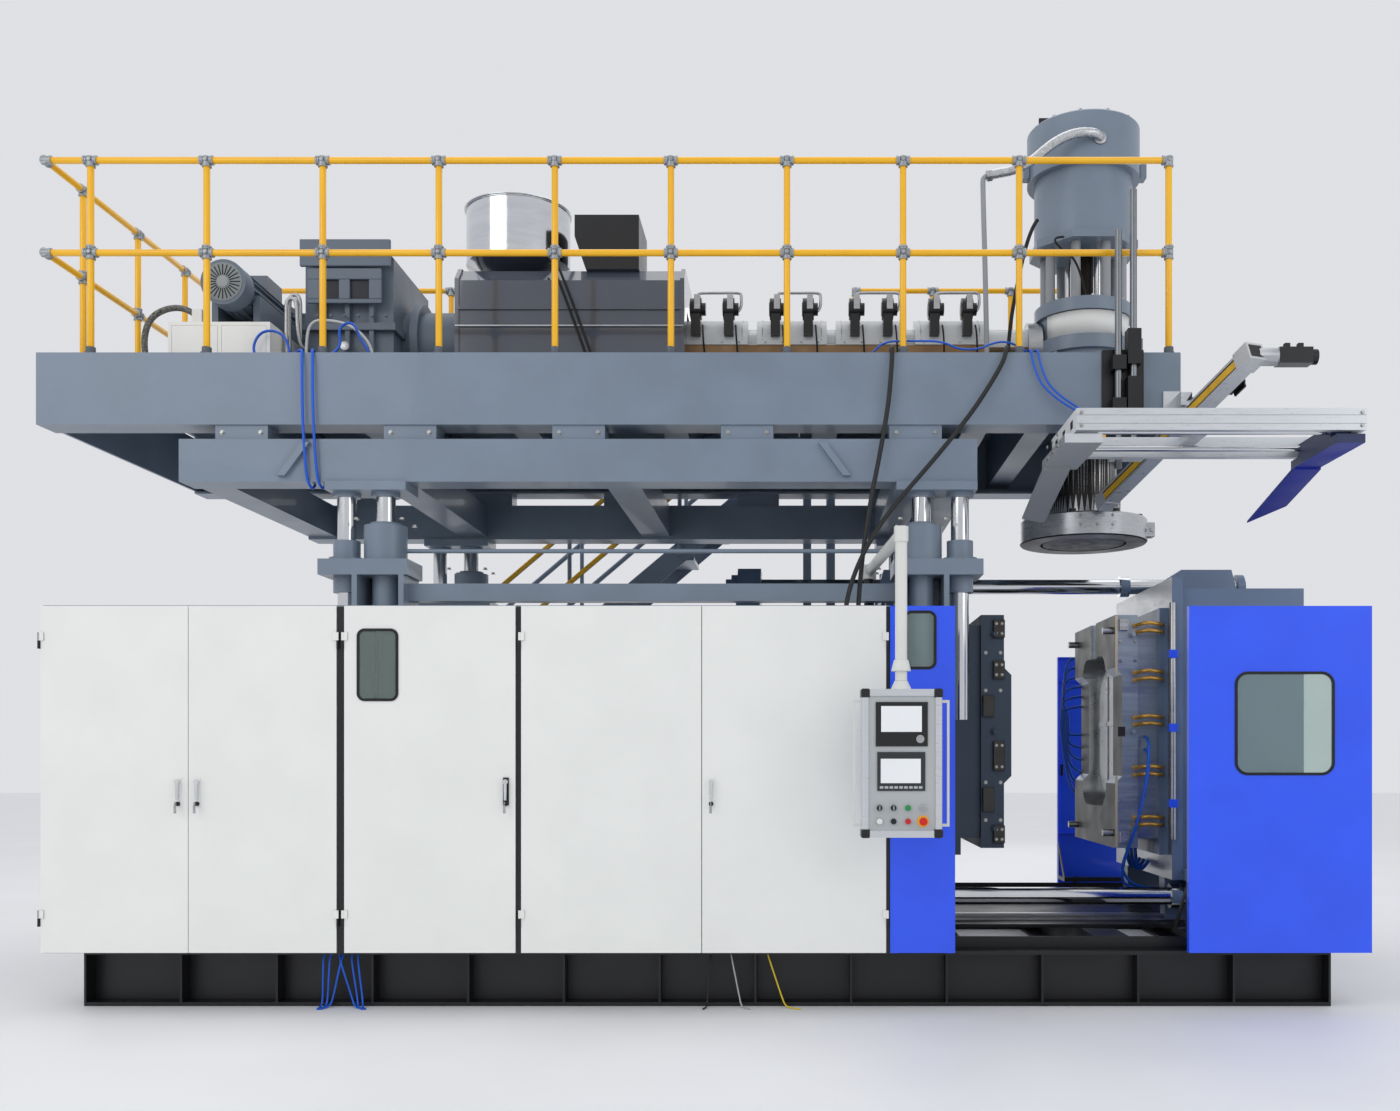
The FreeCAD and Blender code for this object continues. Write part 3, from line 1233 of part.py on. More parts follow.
def barrel_cover():
    """Sheet hood over the feed end, its split bead, and the cable box on top."""
    hood = prism_x(cover_outline(0), COVER_LEFT, COVER_RIGHT)
    hollow = prism_x(cover_outline(4), COVER_LEFT + 4, COVER_RIGHT - 4)
    coupling = rod_x(COVER_LEFT - 1, COVER_LEFT + 5, 0, SCREW_AXIS, BARREL_RADIUS + 1)
    mouth = block(COVER_RIGHT - 5, COVER_RIGHT + 1, -SHELL_RADIUS - 12, SHELL_RADIUS + 12,
                  FLOOR - 1, SCREW_AXIS + SHELL_RADIUS + 12)
    throat = rod_z(HOPPER_X, 0, COVER_TOP - 10, COVER_TOP + 10, HOPPER_THROAT_RADIUS + 1)
    hood = hood.cut([hollow, coupling, mouth, throat])
    split = SCREW_AXIS + 140
    bead = []
    for y in (-COVER_HALF_WIDTH, COVER_HALF_WIDTH - 0.01):
        side = -1 if y < 0 else 1
        y_a = min(y, y + side * 14)
        bead.append(block(COVER_LEFT + 10, COVER_RIGHT - 10, y_a, y_a + 14, split - 12,
                          split + 12))
    ribs = [prism_x(cover_outline(-10), x, x + 26).cut(prism_x(cover_outline(0), x - 1, x + 27))
            for x in (COVER_LEFT, COVER_RIGHT - 26)]
    ribs = [rib.cut(block(COVER_LEFT - 1, COVER_RIGHT + 1, -500, 500, 0, FLOOR + 1))
            for rib in ribs]
    box = prism_y([(-934 + 70, COVER_TOP), (-528, COVER_TOP), (-528, 4736), (-934, 4736),
                   (-934, 4600)], -300, 130)
    return [hood.fuse(bead + ribs).removeSplitter(), box]


def hopper():
    """Open-topped material hopper with its cone and throat."""
    wall = HOPPER_WALL
    throat = HOPPER_THROAT_RADIUS
    low = SCREW_AXIS + BARREL_RADIUS - 12
    outline = [(throat, low), (throat, COVER_TOP + 12), (HOPPER_RADIUS, HOPPER_BARREL_BOTTOM),
               (HOPPER_RADIUS, HOPPER_TOP - 14), (HOPPER_RADIUS + 7, HOPPER_TOP - 14),
               (HOPPER_RADIUS + 7, HOPPER_TOP), (HOPPER_RADIUS - wall, HOPPER_TOP),
               (HOPPER_RADIUS - wall, HOPPER_BARREL_BOTTOM + 2),
               (throat - wall, COVER_TOP + 14), (throat - wall, low)]
    shell = revolve_z(outline, HOPPER_X, 0)
    barrel = rod_x(COVER_LEFT, COVER_RIGHT, 0, SCREW_AXIS, BARREL_RADIUS)
    return [shell.cut(barrel)]


def blower_places():
    places = []
    for index in range(SHELL_COUNT):
        centre = FIRST_SHELL_X + index * SHELL_PITCH
        places += [centre - 105, centre + 105]
    return places


def blowers():
    """Eight small fans blowing into the heater shells."""
    solids = []
    shell = rod_x(blower_places()[0] - 400, blower_places()[-1] + 400, 0, SCREW_AXIS,
                  SHELL_RADIUS + CLEAR)
    for x in blower_places():
        y = -165.0
        z = SCREW_AXIS + 195
        scroll = rod_x(x - 36, x + 36, y, z, 68)
        duct = block(x - 30, x + 30, y - 52, y + 20, SCREW_AXIS + 20, z)
        motor = rod_x(x + 36, x + 62, y, z, 40)
        inlet = rod_x(x - 40, x - 36, y, z, 44)
        solids.append(scroll.fuse([duct, motor, inlet]).cut(shell).removeSplitter())
    return solids


# ---- accumulator head -------------------------------------------------------------------------
def push_rod_places():
    return [(HEAD_X + PUSH_ROD_CIRCLE * math.cos(math.radians(45 + 90 * k)),
             PUSH_ROD_CIRCLE * math.sin(math.radians(45 + 90 * k))) for k in range(4)]


def head_plate_level():
    """Underside of the plate that closes the head."""
    return SCREW_AXIS + 154


def head_body():
    """Turned body with its flanges, gland plate, foot plate and gussets."""
    bottom = RING_TOP
    gland = head_plate_level()
    top = gland + 82
    flange = gland - 244
    outline = [(HEAD_BORE_RADIUS + 75, bottom), (HEAD_NECK_RADIUS, bottom),
               (HEAD_NECK_RADIUS, bottom + 138), (HEAD_LOWER_RADIUS, bottom + 138),
               (HEAD_LOWER_RADIUS, DECK_TOP - 60), (HEAD_BODY_RADIUS, DECK_TOP - 60),
               (HEAD_BODY_RADIUS, flange), (HEAD_BODY_RADIUS + 34, flange),
               (HEAD_BODY_RADIUS + 34, flange + 86), (HEAD_BODY_RADIUS, flange + 86),
               (HEAD_BODY_RADIUS, gland), (HEAD_BODY_RADIUS + 24, gland),
               (HEAD_BODY_RADIUS + 24, top), (MANDREL_RADIUS + RUNNING, top),
               (MANDREL_RADIUS + RUNNING, gland), (HEAD_BORE_RADIUS, gland),
               (HEAD_BORE_RADIUS, bottom + 138)]
    body = revolve_z(outline, HEAD_X, 0)
    body = body.cut([rod_z(x, y, gland - 1, top + 1, PUSH_ROD_RADIUS + RUNNING)
                     for x, y in push_rod_places()])
    body = body.cut(rod_x(HEAD_X - HEAD_BODY_RADIUS - 50, HEAD_X, 0, SCREW_AXIS,
                          SCREW_RADIUS))
    low = FLOOR
    clear = rod_z(HEAD_X, 0, low - 1, top, HEAD_BODY_RADIUS)
    plate = block(HEAD_X - 390, DECK_RIGHT - 12, -400, 400, low, low + 34).cut(clear)
    solids = [body, plate]
    for turn in (135, 225):
        gusset = prism_y([(HEAD_X + HEAD_BODY_RADIUS - 8, low + 34),
                          (HEAD_X + HEAD_BODY_RADIUS + 130, low + 34),
                          (HEAD_X + HEAD_BODY_RADIUS + 130, low + 70),
                          (HEAD_X + HEAD_BODY_RADIUS + 30, flange),
                          (HEAD_X + HEAD_BODY_RADIUS - 8, flange)], -12, 12)
        gusset.rotate(V(HEAD_X, 0, 0), V(0, 0, 1), turn)
        solids.append(gusset.cut(clear))
    for y in (-300, 276):
        solids.append(prism_y([(HEAD_X + 130, low + 34), (DECK_RIGHT - 12, low + 34),
                               (DECK_RIGHT - 12, low + 330), (DECK_RIGHT - 60, low + 330)],
                              y, y + 24).cut(clear))
    return solids


def head_top():
    """Tie rods, the eight-sided flange and the two hydraulic cylinders."""
    low = head_plate_level() + 82
    solids = []
    for k in range(8):
        angle = math.radians(22.5 + 45 * k)
        x = HEAD_X + TIE_ROD_CIRCLE * math.cos(angle)
        y = TIE_ROD_CIRCLE * math.sin(angle)
        solids.append(rod_z(x, y, low, HEAD_SECOND_BOTTOM - 50, TIE_ROD_RADIUS))
    reach = (HEAD_PLATE_RADIUS + 26) / math.cos(math.radians(22.5))
    outline = [(HEAD_X + reach * math.cos(math.radians(22.5 + 45 * k)),
                reach * math.sin(math.radians(22.5 + 45 * k))) for k in range(8)]
    flange = prism_z(outline, HEAD_SECOND_BOTTOM - 50, HEAD_SECOND_BOTTOM)
    lower = rod_z(HEAD_X, 0, HEAD_SECOND_BOTTOM, HEAD_CYLINDER_BOTTOM, HEAD_SECOND_RADIUS)
    upper = rod_z(HEAD_X, 0, HEAD_CYLINDER_BOTTOM, HEAD_CYLINDER_TOP, HEAD_CYLINDER_RADIUS)
    edges = [e for e in upper.Edges if e.CenterOfMass.z > HEAD_CYLINDER_TOP - 1]
    upper = upper.makeChamfer(10, edges[:1])
    bores = [rod_z(x, y, HEAD_SECOND_BOTTOM - 51, HEAD_CYLINDER_BOTTOM - 50,
                   PUSH_ROD_RADIUS + RUNNING) for x, y in push_rod_places()]
    bores.append(rod_z(HEAD_X, 0, HEAD_SECOND_BOTTOM - 51, HEAD_SECOND_BOTTOM + 70,
                       MANDREL_RADIUS + RUNNING))
    body = flange.fuse([lower, upper]).cut(bores)
    solids.append(body.removeSplitter())
    for angle, z in ((200, HEAD_CYLINDER_TOP), (20, HEAD_CYLINDER_TOP)):
        x = HEAD_X + 290 * math.cos(math.radians(angle))
        y = 290 * math.sin(math.radians(angle))
        eye = block(x - 34, x + 34, y - 8, y + 8, z, z + 60)
        solids.append(eye.cut(block(x - 18, x + 18, y - 9, y + 9, z + 16, z + 44)))
    for x in (HEAD_X + HEAD_CYLINDER_RADIUS, HEAD_X - HEAD_CYLINDER_RADIUS - 40):
        solids.append(block(x, x + 40, -60, 20, HEAD_CYLINDER_BOTTOM + 20,
                            HEAD_CYLINDER_BOTTOM + 110).cut(upper))
    return solids


def die_ring():
    """Ring that forms the outside of the parison, with its clamp lugs."""
    ring = revolve_z([(RING_HOLE_RADIUS, RING_BOTTOM), (RING_OUTER_RADIUS - 8, RING_BOTTOM),
                      (RING_OUTER_RADIUS, RING_BOTTOM + 8), (RING_OUTER_RADIUS, RING_TOP - 8),
                      (RING_OUTER_RADIUS - 8, RING_TOP), (HEAD_BORE_RADIUS + 76, RING_TOP),
                      (HEAD_BORE_RADIUS + 76, RING_TOP - 17),
                      (RING_HOLE_RADIUS, RING_TOP - 62)], HEAD_X, 0)
    lugs = []
    for y in (-150, -100):
        lugs.append(block(HEAD_X + RING_OUTER_RADIUS - 60, HEAD_X + RING_OUTER_RADIUS + 22,
                          y, y + 30, RING_BOTTOM + 30, RING_TOP - 30))
    pin = rod_y(HEAD_X + RING_OUTER_RADIUS + 4, -164, -56, RING_BOTTOM + 75, 14)
    solids = [ring.fuse(lugs).fuse(pin).removeSplitter()]
    for turn in range(8):
        angle = math.radians(22.5 + turn * 45)
        x = HEAD_X + (RING_OUTER_RADIUS - 50) * math.cos(angle)
        y = (RING_OUTER_RADIUS - 50) * math.sin(angle)
        solids.append(rod_z(x, y, RING_TOP, RING_TOP + 24, 22))
    return solids


def die_pin():
    """Mandrel rod that ends in the flared pin inside the die ring."""
    top = HEAD_SECOND_BOTTOM + 60
    outline = [(0, RING_BOTTOM + 2), (DIE_PIN_RADIUS, RING_BOTTOM + 2),
               (DIE_PIN_RADIUS, RING_BOTTOM + 38), (110, RING_TOP + 40),
               (MANDREL_RADIUS, RING_TOP + 150), (MANDREL_RADIUS, top), (0, top)]
    return [revolve_z(outline, HEAD_X, 0)]


def push_rods():
    """Ring piston with the four chromed rods that drive it."""
    low = head_plate_level() - 190
    ring = rod_z(HEAD_X, 0, low, low + 90, HEAD_BORE_RADIUS - RUNNING)
    ring = ring.cut(rod_z(HEAD_X, 0, low - 1, low + 91, MANDREL_RADIUS + RUNNING))
    rods = [rod_z(x, y, low + 90, HEAD_CYLINDER_BOTTOM - 65, PUSH_ROD_RADIUS)
            for x, y in push_rod_places()]
    return [ring.fuse(rods)]


# ---- clamp ----------------------------------------------------------------------------------
def platen(side, depth):
    """Platen on one side of the meeting plane: plate, ribbed box and slide blocks."""
    face = CLAMP_X + side * PLATEN_FACE
    back = face + side * PLATEN_PLATE
    end = face + side * depth

    def slab(xa, xb, y0, y1, z0, z1):
        return block(min(xa, xb), max(xa, xb), y0, y1, z0, z1)

    solids = [slab(face, back, -PLATEN_HALF_WIDTH, PLATEN_HALF_WIDTH, PLATEN_BOTTOM,
                   PLATEN_TOP)]
    half = PLATEN_HALF_WIDTH - 60
    low = PLATEN_BOTTOM + 60
    high = PLATEN_TOP - 60
    for y in (-half, -RIB / 2, half - RIB):
        solids.append(slab(back, end, y, y + RIB, low + RIB, high - RIB))
    for z in (low, high - RIB):
        solids.append(slab(back, end, -half, half, z, z + RIB))
    for part in range(1, 4):
        z = low + (high - low - RIB) * part / 4
        for y0, y1 in ((-half + RIB, -RIB / 2), (RIB / 2, half - RIB)):
            solids.append(slab(back, end, y0, y1, z, z + RIB))
    for y in (-LINEAR_RAIL_Y, LINEAR_RAIL_Y):
        spacer = slab(face + side * 4, end, y - 60, y + 60, CARRIAGE_TOP, PLATEN_BOTTOM)
        riser = slab(back, end, y - 60, y + 60, PLATEN_BOTTOM, low)
        channel = slab(face - side * 50, end + side * 50, y - LINEAR_RAIL_WIDTH / 2 - RUNNING,
                       y + LINEAR_RAIL_WIDTH / 2 + RUNNING, BED_TOP, RAIL_TOP + RUNNING)
        block_length = min(170.0, depth / 2 - 20)
        for start in (face + side * 8, end - side * (block_length + 4)):
            shoe = slab(start, start + side * block_length, y - 52, y + 52, BED_TOP + 12,
                        CARRIAGE_TOP)
            solids.append(shoe.cut(channel))
        solids += [spacer, riser]
    return solids


def ear(side, depth, upper):
    """Lug of a platen round one tie bar."""
    face = CLAMP_X + side * PLATEN_FACE
    end = face + side * depth
    y = TIE_BAR_Y if upper else -TIE_BAR_Y
    z = TIE_BAR_UPPER_Z if upper else TIE_BAR_LOWER_Z
    edge = PLATEN_TOP if upper else PLATEN_BOTTOM
    far = z + EAR_HALF if upper else z - EAR_HALF
    root = edge - 60 if upper else edge + 60
    taper = min(depth * 0.42, abs(far - edge) * 1.8)
    outline = [(face + side * PLATEN_PLATE, root), (face + side * PLATEN_PLATE, edge),
               (face + side * (PLATEN_PLATE + taper), far), (end - side * 60, far),
               (end, edge), (end, root)]
    lug = prism_y(outline, y - EAR_HALF, y + EAR_HALF)
    cap = block(min(face, face + side * PLATEN_PLATE), max(face, face + side * PLATEN_PLATE),
                y - EAR_HALF, y + EAR_HALF, min(edge, far), max(edge, far))
    if side > 0:
        cap = None
    bore = rod_x(min(face, end) - 10, max(face, end) + 10, y, z, TIE_BAR_RADIUS + RUNNING)
    pieces = [lug.cut(bore)]
    if cap:
        pieces.append(cap.cut(bore))
    return pieces


def right_platen():
    solids = platen(1, RIGHT_PLATEN_DEPTH)
    solids += ear(1, RIGHT_PLATEN_DEPTH, True)
    solids += ear(1, RIGHT_PLATEN_DEPTH, False)
    return trim_ears(solids, 1)


def left_platen():
    """Platen pushed by the clamp ram, with sleeves round the tie bars."""
    solids = platen(-1, LEFT_PLATEN_DEPTH)
    solids += ear(-1, LEFT_PLATEN_DEPTH, True)
    solids += ear(-1, LEFT_PLATEN_DEPTH, False)
    end = CLAMP_X - PLATEN_FACE - LEFT_PLATEN_DEPTH
    z = (PLATEN_TOP + PLATEN_BOTTOM) / 2
    pad = rod_x(end - 40, end, 0, z, CLAMP_CYLINDER_RADIUS)
    ram = rod_x(TAIL_X - 140, end - 40, 0, z, CLAMP_RAM_RADIUS)
    return trim_ears(solids, -1) + [pad.fuse(ram)]


def trim_ears(solids, side):
    """Takes the platen's own walls out of the ears so that the pieces meet face to face."""
    count = len(solids) - (2 if side > 0 else 4)
    walls = solids[:count]
    return walls + [piece.cut(walls) for piece in solids[count:]]


def tie_bars():
    """Two diagonal tie bars, the tail plate on its slides, and the clamp cylinder."""
    solids = []
    right = CLAMP_X + PLATEN_FACE + RIGHT_PLATEN_DEPTH
    for y, z in ((TIE_BAR_Y, TIE_BAR_UPPER_Z), (-TIE_BAR_Y, TIE_BAR_LOWER_Z)):
        bar = rod_x(TAIL_X - 90, right + 60, y, z, TIE_BAR_RADIUS)
        nut = rod_x(right, right + 46, y, z, TIE_BAR_RADIUS + 30)
        collar_x = CLAMP_X + PLATEN_FACE + PLATEN_PLATE - 40
        collar = rod_x(collar_x - 24, collar_x + 40, y, z, TIE_BAR_RADIUS + 20)
        tail_nut = rod_x(TAIL_X - 50, TAIL_X, y, z, TIE_BAR_RADIUS + 30)
        whole = bar.fuse([nut, tail_nut])
        if z < PLATEN_BOTTOM or z > PLATEN_TOP:
            whole = whole.fuse(collar.cut(block(collar_x - 60, right, y - 200, y + 200,
                                                PLATEN_BOTTOM, PLATEN_TOP))
                               .cut(block(collar_x + 40, right, y - 200, y + 200, 0, 4000)))
        solids.append(whole.removeSplitter())
    y, top, low = TIE_BAR_Y + EAR_HALF, TIE_BAR_UPPER_Z + EAR_HALF, TIE_BAR_LOWER_Z - EAR_HALF
    mid = (PLATEN_TOP + PLATEN_BOTTOM) / 2
    plate = prism_x([(-y, low), (-y + 260, low), (420, mid - 250), (y, top - 320), (y, top),
                     (y - 260, top), (-420, mid + 250), (-y, low + 320)],
                    TAIL_X, TAIL_X + TAIL_THICK)
    legs = [block(TAIL_X, TAIL_X + TAIL_THICK, side * LINEAR_RAIL_Y - 55,
                  side * LINEAR_RAIL_Y + 55, RAIL_TOP + 30, mid - 180) for side in (-1, 1)]
    shoes = []
    for side in (-1, 1):
        channel = block(TAIL_X - 60, TAIL_X + TAIL_THICK + 60,
                        side * LINEAR_RAIL_Y - LINEAR_RAIL_WIDTH / 2 - RUNNING,
                        side * LINEAR_RAIL_Y + LINEAR_RAIL_WIDTH / 2 + RUNNING,
                        BED_TOP, RAIL_TOP + RUNNING)
        shoes.append(block(TAIL_X - 20, TAIL_X + TAIL_THICK + 20, side * LINEAR_RAIL_Y - 52,
                           side * LINEAR_RAIL_Y + 52, BED_TOP + 12, RAIL_TOP + 30)
                     .cut(channel))
    tail = plate.fuse(legs)
    tail = tail.cut([rod_x(TAIL_X - 5, TAIL_X + TAIL_THICK + 5, side * TIE_BAR_Y, z,
                           TIE_BAR_RADIUS)
                     for side, z in ((1, TIE_BAR_UPPER_Z), (-1, TIE_BAR_LOWER_Z))])
    cylinder = rod_x(TAIL_X - 190, CLAMP_X - PLATEN_FACE - LEFT_PLATEN_DEPTH - 70, 0, mid,
                     CLAMP_CYLINDER_RADIUS)
    tail = tail.cut(cylinder)
    cylinder = cylinder.cut(rod_x(TAIL_X - 160, CLAMP_X, 0, mid, CLAMP_RAM_RADIUS + RUNNING))
    flange = rod_x(TAIL_X + TAIL_THICK, TAIL_X + TAIL_THICK + 50, 0, mid,
                   CLAMP_CYLINDER_RADIUS + 60).cut(rod_x(TAIL_X, CLAMP_X, 0, mid,
                                                         CLAMP_CYLINDER_RADIUS))
    shoes = [shoe.cut(tail) for shoe in shoes]
    return solids + [tail.removeSplitter(), cylinder, flange] + shoes


def mould(side):
    """One mould half with its stepped parting face, cavity, pins and back plates."""
    face = CLAMP_X + side * MOULD_FACE
    back = CLAMP_X + side * (MOULD_FACE + MOULD_THICK)
    step = MOULD_STEP
    z0, z1 = MOULD_STEP_Z
    outline = [(face, MOULD_BOTTOM), (back, MOULD_BOTTOM), (back, MOULD_TOP),
               (face, MOULD_TOP), (face, z1 + step), (face + step, z1), (face + step, z0),
               (face, z0 - step)]
    half = prism_y(outline, -MOULD_HALF_WIDTH, MOULD_HALF_WIDTH)
    deep = (face + step if side > 0 else face + step) + side * CAVITY_DEPTH
    front = face - side * 100
    cavity = cavity_body(min(front, deep), max(front, deep))
    solids = [half.cut(cavity)]
    platen_face = CLAMP_X + side * PLATEN_FACE
    for y in (-MOULD_HALF_WIDTH + 40, -60, MOULD_HALF_WIDTH - 160):
        solids.append(block(min(back, platen_face - side * 50),
                            max(back, platen_face - side * 50), y, y + 120,
                            MOULD_BOTTOM + 60, MOULD_TOP - 60))
    solids.append(block(min(platen_face, platen_face - side * 50),
                        max(platen_face, platen_face - side * 50), -MOULD_HALF_WIDTH - 20,
                        MOULD_HALF_WIDTH + 20, MOULD_BOTTOM - 40, MOULD_TOP + 40))
    for y in (-MOULD_HALF_WIDTH + 70, MOULD_HALF_WIDTH - 70):
        for z in (MOULD_BOTTOM + 90, MOULD_TOP - 90):
            if side > 0:
                solids.append(rod_x(face - 60, face, y, z, GUIDE_PIN_RADIUS))
            else:
                hole = rod_x(face - 70, face + 1, y, z, GUIDE_PIN_RADIUS + RUNNING)
                solids[0] = solids[0].cut(hole)
    for z in (MOULD_BOTTOM + 120, (MOULD_BOTTOM + MOULD_TOP) / 2, MOULD_TOP - 120):
        x = (face + step + back) / 2 + side * 12
        solids.append(rod_y(x, -MOULD_HALF_WIDTH - 46, -MOULD_HALF_WIDTH, z, 13)
                      .fuse(rod_y(x, -MOULD_HALF_WIDTH - 20, -MOULD_HALF_WIDTH, z, 20)))
    return solids


def cavity_body(x0, x1):
    """Shape of the moulded tank half: a waisted body with rounded edges."""
    body = block(x0, x1, -CAVITY_HALF_WIDTH, CAVITY_HALF_WIDTH, CAVITY_BOTTOM, CAVITY_TOP)
    edges = [e for e in body.Edges if abs(e.tangentAt(e.FirstParameter).x) > 0.99]
    body = body.makeFillet(CAVITY_CORNER, edges)
    neck = rod_z(0, 0, CAVITY_TOP - 5, MOULD_TOP + 5, NECK_RADIUS)
    neck.translate(V(CLAMP_X + (MOULD_FACE if x1 > CLAMP_X else -MOULD_FACE), 0, 0))
    return body.fuse(neck)



# ---- control box --------------------------------------------------------------------------
def arm_post():
    """Post with the spindle that the arm turns on."""
    post = rod_z(ARM_POST_X, ARM_POST_Y, BEAM_HEIGHT + 12, ARM_HEIGHT - 50, ARM_PIPE_RADIUS)
    foot = block(ARM_POST_X - 70, ARM_POST_X + 70, ARM_POST_Y - 70, ARM_POST_Y + 70,
                 BEAM_HEIGHT, BEAM_HEIGHT + 12)
    spindle = rod_z(ARM_POST_X, ARM_POST_Y, ARM_HEIGHT - 51, ARM_HEIGHT + 20, 18)
    return post.fuse([foot, spindle]).removeSplitter()


def box_top():
    return BOX_BOTTOM + BOX_HEIGHT


def hmi_arm():
    """Pipe arm from the post to above the box, with the drop pipe."""
    hub = rod_z(ARM_POST_X, ARM_POST_Y, ARM_HEIGHT - 49, ARM_HEIGHT + 36, 42)
    pipe = rod_between((ARM_POST_X, ARM_POST_Y, ARM_HEIGHT), (BOX_X, BOX_Y, ARM_HEIGHT),
                       ARM_PIPE_RADIUS)
    elbow = rod_z(BOX_X, BOX_Y, ARM_HEIGHT - 40, ARM_HEIGHT + 36, ARM_PIPE_RADIUS + 6)
    drop = rod_z(BOX_X, BOX_Y, box_top() + 43, ARM_HEIGHT, ARM_PIPE_RADIUS)
    bore = rod_z(ARM_POST_X, ARM_POST_Y, ARM_HEIGHT - 50, ARM_HEIGHT + 21, 18 + RUNNING)
    socket = rod_z(BOX_X, BOX_Y, box_top() + 42, box_top() + 92, 16 + RUNNING)
    return [hub.fuse([pipe, elbow, drop]).cut([bore, socket]).removeSplitter()]


def box_front():
    """Face of the instrument panel."""
    return BOX_Y - BOX_DEPTH / 2 + 6


def control_places():
    """(x, z) of the eight controls, upper row first."""
    places = [(BOX_X + x, BOX_BOTTOM + CONTROL_UPPER) for x in CONTROL_X]
    return places + [(BOX_X + x, BOX_BOTTOM + CONTROL_LOWER) for x in CONTROL_X]


def hmi_box():
    """Aluminium enclosure: panel, profiles, corner caps, screens, side grips and collar."""
    half = BOX_WIDTH / 2
    y0 = BOX_Y - BOX_DEPTH / 2
    y1 = BOX_Y + BOX_DEPTH / 2
    z0, z1 = BOX_BOTTOM, box_top()
    front = box_front()
    panel = block(BOX_X - half + PROFILE, BOX_X + half - PROFILE, front, front + 3,
                  z0 + PROFILE, z1 - PROFILE)
    rear = block(BOX_X - half + PROFILE, BOX_X + half - PROFILE, y1 - 8, y1 - 5,
                 z0 + PROFILE, z1 - PROFILE)
    bores = [rod_y(x, front - 1, front + 4, z, CONTROL_STEM_RADIUS + RUNNING)
             for x, z in control_places()]
    solids = [panel.cut(bores), rear]
    for x in (BOX_X - half, BOX_X + half - PROFILE):
        bar = block(x, x + PROFILE, y0, y1, z0 + PROFILE, z1 - PROFILE)
        outer = [e for e in bar.Edges if abs(e.tangentAt(e.FirstParameter).z) > 0.99
                 and abs(e.CenterOfMass.x - BOX_X) > half - 1]
        solids.append(bar.makeFillet(12, outer))
    for z in (z0, z1 - PROFILE):
        solids.append(block(BOX_X - half + PROFILE, BOX_X + half - PROFILE, y0, y1, z,
                            z + PROFILE))
        for x in (BOX_X - half, BOX_X + half - PROFILE):
            cap = block(x, x + PROFILE, y0, y1, z, z + PROFILE)
            solids.append(cap)
    for left, right, low, high in ((876.0, 928.0, 449.0, 667.0), (877.5, 925.5, 230.0, 421.0)):
        scale = BOX_WIDTH / 81.0
        xa = BOX_X + (left - 902.3) * scale
        xb = BOX_X + (right - 902.3) * scale
        bezel = block(xa, xb, front - 6, front, z0 + low, z0 + high)
        rim = block(xa + 20, xb - 20, front - 7, front - 4, z0 + low + 34, z0 + high - 20)
        solids.append(bezel.cut(rim))
    solids.append(rod_y(BOX_X + 89, front - 12, front - 6, z0 + 485, 20))
    for side in (-1, 1):
        x = BOX_X + side * (half + 34)
        grip = block(x - 6, x + 6, BOX_Y - 8, BOX_Y + 8, z0 + 52, z1 - 52)
        legs = [block(min(x, BOX_X + side * half), max(x, BOX_X + side * half), BOX_Y - 8,
                      BOX_Y + 8, z, z + 14) for z in (z0 + 52, z1 - 66)]
        solids.append(grip.fuse(legs).removeSplitter())
    flare = Part.makeCone(52, 33, 42, V(BOX_X, BOX_Y, z1), V(0, 0, 1))
    stub = rod_z(BOX_X, BOX_Y, z1 + 40, z1 + 90, 16)
    solids.append(flare.fuse(stub))
    return solids


def control(index):
    """One control of the panel: stem through the panel with its head or knob."""
    x, z = control_places()[index]
    front = box_front()
    if index == 3:
        stem = rod_y(x, front - 2, front + 20, z, CONTROL_STEM_RADIUS)
    else:
        stem = rod_y(x, front - 6, front + 20, z, CONTROL_STEM_RADIUS)
    if index in (0, 1):
        knob = rod_y(x, front - 12, front - 1, z, 13)
        bar = block(x - 4.5, x + 4.5, front - 24, front - 12, z - 13, z + 13)
        return [stem.fuse([knob, bar]).removeSplitter()]
    if index == 3:
        barrel = rod_y(x, front - 9, front - 1, z, 12)
        key = block(x - 1.2, x + 1.2, front - 34, front - 9, z - 9, z + 9)
        return [stem.fuse([barrel, key]).removeSplitter()]
    if index == 7:
        cap = Part.makeCone(13, 20, 16, V(x, front - 12, z), V(0, -1, 0))
        crown = rod_y(x, front - 34, front - 28, z, 20)
        return [stem.fuse([rod_y(x, front - 12, front - 5, z, 11), cap, crown])
                .removeSplitter()]
    return [stem.fuse(rod_y(x, front - 14, front - 5, z, 12)).removeSplitter()]


# ---- parison pinch unit ---------------------------------------------------------------------
def pinch_rod_places():
    """(x, top) of the two lifting rods."""
    return ((PINCH_GUIDE_X - 37, 4300.0), (PINCH_GUIDE_X + 48, 4530.0))


def pinch_rod_y():
    return DECK_FRONT - 57


def pinch_guide():
    """Bracket on the deck's front with the bearing blocks of the lifting rods."""
    y = pinch_rod_y()
    y0 = DECK_FRONT - 12
    solids = [block(PINCH_GUIDE_X - 119, PINCH_GUIDE_X + 119, y0, DECK_FRONT,
                    DECK_BOTTOM + 16, FLOOR + 10)]
    (xa, _), (xb, _) = pinch_rod_places()
    for x, low, high in ((xa, DECK_BOTTOM + 60, DECK_BOTTOM + 130),
                         (xa, FLOOR - 120, FLOOR - 40),
                         (xb, DECK_BOTTOM + 30, FLOOR - 160),
                         (xb, FLOOR - 90, FLOOR + 110)):
        body = block(x - 38, x + 38, y - 34, y0, low, high)
        solids.append(body.cut(rod_z(x, y, low - 1, high + 1, 20 + RUNNING)))
    return solids


